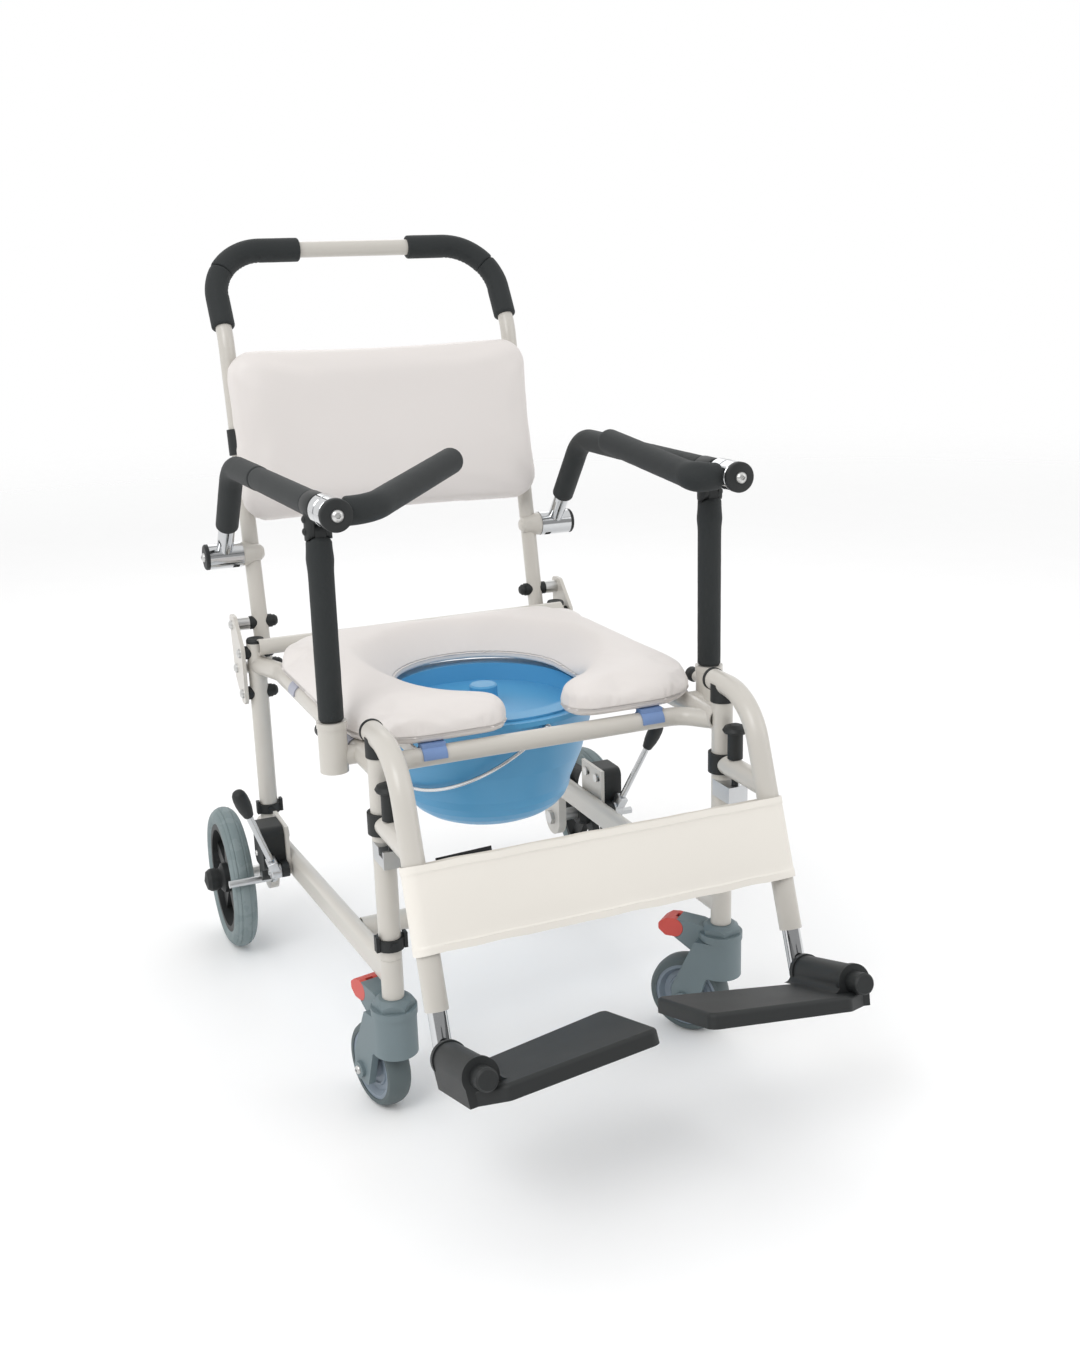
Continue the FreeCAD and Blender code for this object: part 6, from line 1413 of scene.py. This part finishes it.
def flat_base(piece):
    """Keeps a cushion's underside on the plane that it rests on."""
    for vertex in piece.data.vertices:
        vertex.co.z = max(vertex.co.z, 0.0)


def thinned_edge(piece):
    """Slopes the seat down to a thin edge round its opening."""
    for vertex in piece.data.vertices:
        far = math.hypot(vertex.co.x, vertex.co.y - SEAT_HOLE_Y) - SEAT_HOLE_R
        share = math.sin(math.pi / 2 * max(0.0, min(1.0, far / SEAT_DISH)))
        vertex.co.z *= (SEAT_EDGE + (SEAT_THICK - SEAT_EDGE) * share) / SEAT_THICK


def seat_cushion():
    """Horseshoe seat cushion on its rails."""
    cushion = cushion_core("seat_cushion", horseshoe, SEAT_LEVELS)
    stuffed(cushion, SEAT_PINNED, SEAT_SWELL, SEAT_EASE)
    flat_base(cushion)
    thinned_edge(cushion)
    corners = [(sign * x, y, reach) for x, y, reach in SEAT_GATHERS for sign in SIDES.values()]
    gathers(cushion, SEAT_SEAM_HEIGHT, SEAT_GATHER_REACH, SEAT_GATHER_DEPTH, corners)
    sewn_seam(cushion, SEAT_SEAM_HEIGHT, SEAT_SEAM_LIP, SEAT_SEAM_GROOVE)
    cushion.data.transform(Matrix.Translation((0, 0, SEAT_BOTTOM)))
    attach(cushion, "seat")
    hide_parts("seat_pad")


def back_cushion():
    """Backrest cushion, leaning in front of its tube."""
    cushion = cushion_core("back_cushion", back_outline, PAD_LEVELS)
    stuffed(cushion, PAD_PINNED, PAD_SWELL, PAD_EASE)
    flat_base(cushion)
    corners = [(sx * PAD_WIDTH / 2, sy * PAD_HEIGHT / 2, PAD_GATHER_R) for sx in (-1, 1) for sy in (-1, 1)]
    gathers(cushion, PAD_SEAM_HEIGHT, PAD_GATHER_REACH, PAD_GATHER_DEPTH, corners)
    sewn_seam(cushion, PAD_SEAM_HEIGHT, PAD_SEAM_LIP, PAD_SEAM_GROOVE)
    away = (BACK_R + PAD_STAND) / math.cos(BACK_LEAN)
    upright = Matrix.Rotation(math.pi / 2, 4, "X")
    lean = Matrix.Rotation(-BACK_LEAN, 4, "X")
    place = Matrix.Translation((0, back_y(PAD_CENTRE_Z) - away, PAD_CENTRE_Z))
    cushion.data.transform(place @ lean @ upright)
    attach(cushion, "seat_frame")
    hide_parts("backrest_pad")


# Calf strap

def leg_point(z):
    """Centre of the left leg rest tube at a given height."""
    return Vector((LEG_X, LEG_REF_Y + (z - LEG_REF_Z) * math.tan(LEG_LEAN), z))


STRAP_DOWN = (leg_point(0.2) - leg_point(0.4)).normalized()
STRAP_FRONT = STRAP_DOWN.cross(X).normalized()


def strap_loop(sign, radius):
    """(x, depth, outward direction) along one half of the strap: front band, round the tube, back band."""
    rows = [(LEG_X * i / STRAP_RUNS, radius, STRAP_FRONT) for i in range(STRAP_RUNS)]
    for i in range(STRAP_TURNS + 1):
        angle = math.pi * i / STRAP_TURNS
        out = STRAP_FRONT * math.cos(angle) + X * math.sin(angle)
        rows.append((LEG_X + radius * math.sin(angle), radius * math.cos(angle), out))
    rows += [(LEG_X * (1 - i / STRAP_RUNS), -radius, -STRAP_FRONT) for i in range(1, STRAP_RUNS + 1)]
    return [(x * sign, depth, Vector((out.x * sign, out.y, out.z))) for x, depth, out in rows]


def strap_point(x, depth, down):
    """Point on the strap's own sheet."""
    base = leg_point(STRAP_TOP_Z)
    return Vector((x, base.y, base.z)) + STRAP_FRONT * depth + STRAP_DOWN * down


def strap_skin(x, depth, out, down):
    """Point on the middle of the vinyl: raised along the hems, wavy at the edges, loose between the tubes."""
    margin = min(down, STRAP_HEIGHT - down)
    wave = STRAP_WAVE * noise.noise(Vector((x * 28, depth * 60, 3.0 if down < STRAP_HEIGHT / 2 else 9.0)))
    wave *= max(0.0, 1 - margin / STRAP_WAVE_REACH)
    proud = STRAP_HEM_PROUD * (1 - min(1.0, max(0.0, (margin - STRAP_HEM_FULL) / STRAP_HEM_FALL)))
    puff = STRAP_PUFF * noise.noise(Vector((x * 11, down * 16, depth * 40))) - STRAP_PUFF
    return strap_point(x, depth, down + wave) + out * (proud + puff * (abs(x) < LEG_X - STRAP_PUFF_MARGIN))


def strap_stitches(side, sign):
    """Thread along both hems of one half of the strap, front and back."""
    shape = lathe("stitch_shape", Vector((0, 0, 0)), X, STITCH_PROFILE, "strap_vinyl", segments=8)
    spots = []
    for way in (1, -1):
        out = STRAP_FRONT * way
        for down in (STRAP_HEM - STITCH_INSET, STRAP_HEIGHT - STRAP_HEM + STITCH_INSET):
            for k in range(int((LEG_X - STITCH_MARGIN) / STITCH_PITCH)):
                x = (STITCH_START + STITCH_PITCH * k) * sign
                place = strap_skin(x, STRAP_WRAP_R * way, out, down) + out * (STRAP_T / 2)
                spots.append((place, out, X, 1.0))
    stitches = repeated("strap_stitches_" + side, shape, spots, "strap_vinyl", "thread", seed=5)
    bpy.data.objects.remove(shape)
    return stitches


def strap_half(side, sign):
    """One half of the calf strap, with turned hems along both edges."""
    rows = strap_loop(sign, STRAP_WRAP_R)
    between = STRAP_HEIGHT - 2 * STRAP_HEM - 2 * STRAP_HEM_EASE
    inner = [STRAP_HEM + STRAP_HEM_EASE + between * i / STRAP_BANDS for i in range(1, STRAP_BANDS)]
    downs = STRAP_HEM_STEPS + inner + [STRAP_HEIGHT - d for d in reversed(STRAP_HEM_STEPS)]
    points = [strap_skin(x, depth, out, down) for x, depth, out in rows for down in downs]
    count = len(downs)
    corners = [row * count + k for row in range(len(rows) - 1) for k in range(count - 1)]
    faces = [(a, a + 1, a + count + 1, a + count) for a in corners]
    strap = piece_from("calf_strap_" + side, points, faces, "strap_vinyl")
    thick = strap.modifiers.new("vinyl", "SOLIDIFY")
    thick.thickness = STRAP_T
    thick.offset = 0.0
    return outward(smooth(settled(strap)), ROUND_EDGE)


def calf_strap():
    """Both halves of the strap, with their stitches and the hook tape by the right leg rest."""
    halves = {side: strap_half(side, sign) for side, sign in SIDES.items()}
    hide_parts("calf_strap")
    tape = hook_tape()
    for side, sign in SIDES.items():
        together = [strap_stitches(side, sign)] + ([tape] if side == "right" else [])
        for piece in [halves[side]] + together:
            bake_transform(piece)


def hook_tape():
    """End of the black hook tape that shows over the strap's back band, by the right leg rest."""
    depth = -STRAP_WRAP_R - TAPE_STAND
    points = []
    for i in range(TAPE_COLUMNS + 1):
        x = -TAPE_X - TAPE_LENGTH * i / TAPE_COLUMNS
        lift = -TAPE_LIFT + TAPE_SLOPE * i / TAPE_COLUMNS
        downs = (lift, lift + TAPE_EDGE, *TAPE_DOWNS)
        points += [strap_point(x, depth, down) for down in downs]
        points += [strap_point(x, depth - TAPE_T, down) for down in reversed(downs)]
    rings, around = TAPE_COLUMNS + 1, 2 * len(downs)
    faces = ring_faces(0, rings, around) + end_faces(0, rings, around)
    return outward(piece_from("strap_hook_tape", points, faces, "black_plastic", "hook_tape"), SOFT_EDGE)


# Wheels

def tyre_profile():
    """Section of the rear tyre from side to side, with two grooves on each shoulder."""
    radius = (TYRE_HALF ** 2 + TYRE_SHOULDER ** 2) / (2 * TYRE_SHOULDER)
    crown = []
    for i in range(TYRE_STEPS + 1):
        along = -TYRE_HALF + 2 * TYRE_HALF * i / TYRE_STEPS
        height = TYRE_R - radius + math.sqrt(radius ** 2 - along ** 2)
        for groove in TYRE_GROOVES:
            height -= TYRE_GROOVE_DEPTH * math.exp(-((abs(along) - groove) / TYRE_GROOVE_WIDTH) ** 2)
        crown.append((along, height))
    return both_sides([(-TYRE_HALF * share, TYRE_BED_R + rise) for share, rise in TYRE_BEAD], crown)


def rear_tyres():
    """Grey tyres of the rear wheels."""
    for side, sign in SIDES.items():
        centre = Vector((WHEEL_X * sign, AXLE_Y, AXLE_Z))
        tyre = lathe("rear_tyre_skin_" + side, centre, X, tyre_profile(), "tyre_grey", segments=128,
                     sharp=ROUND_EDGE)
        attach(tyre, "rear_wheel_" + side)
        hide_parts("rear_tyre_" + side)


def caster_place(side, sign):
    """Middle and axle direction of a swivelled caster wheel."""
    turn = Matrix.Rotation(CASTER_YAW[side] * sign, 3, "Z")
    centre = Vector((LEG_X, CASTER_LEG_Y, CASTER_R)) + turn @ Vector((0, CASTER_TRAIL, 0))
    return mirrored([centre, turn @ X], sign)


def caster_wheels():
    """Caster hubs with their rings, and the dark tread round them."""
    half = CASTER_HALF
    boss = [(half, CASTER_BORE_R), (half, CASTER_BOSS_R), (half - CASTER_BOSS_EDGE, CASTER_BOSS_EDGE_R)]
    hub = both_sides(boss + [(half * share, radius) for share, radius in CASTER_HUB_STEPS])
    tread = both_sides([(-half * share, radius) for share, radius in CASTER_TREAD_STEPS], [(0, CASTER_R)])
    for side, sign in SIDES.items():
        centre, axis = caster_place(side, sign)
        wheel = lathe("caster_hub_" + side, centre, axis, hub, "caster_grey", finish_name="hub_grey")
        rubber = lathe("caster_tread_" + side, centre, axis, tread, "caster_tread", segments=96)
        for piece in (wheel, rubber):
            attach(piece, "caster_wheel_" + side)
        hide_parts("caster_wheel_" + side)


make_finishes()
photo_camera()
studio()
dress_frame_nodes()
push_grips()
arm_grips()
arm_posts()
arm_fronts()
safety_bars()
brake_levers()
seat_cushion()
back_cushion()
calf_strap()
rear_tyres()
caster_wheels()
screws()
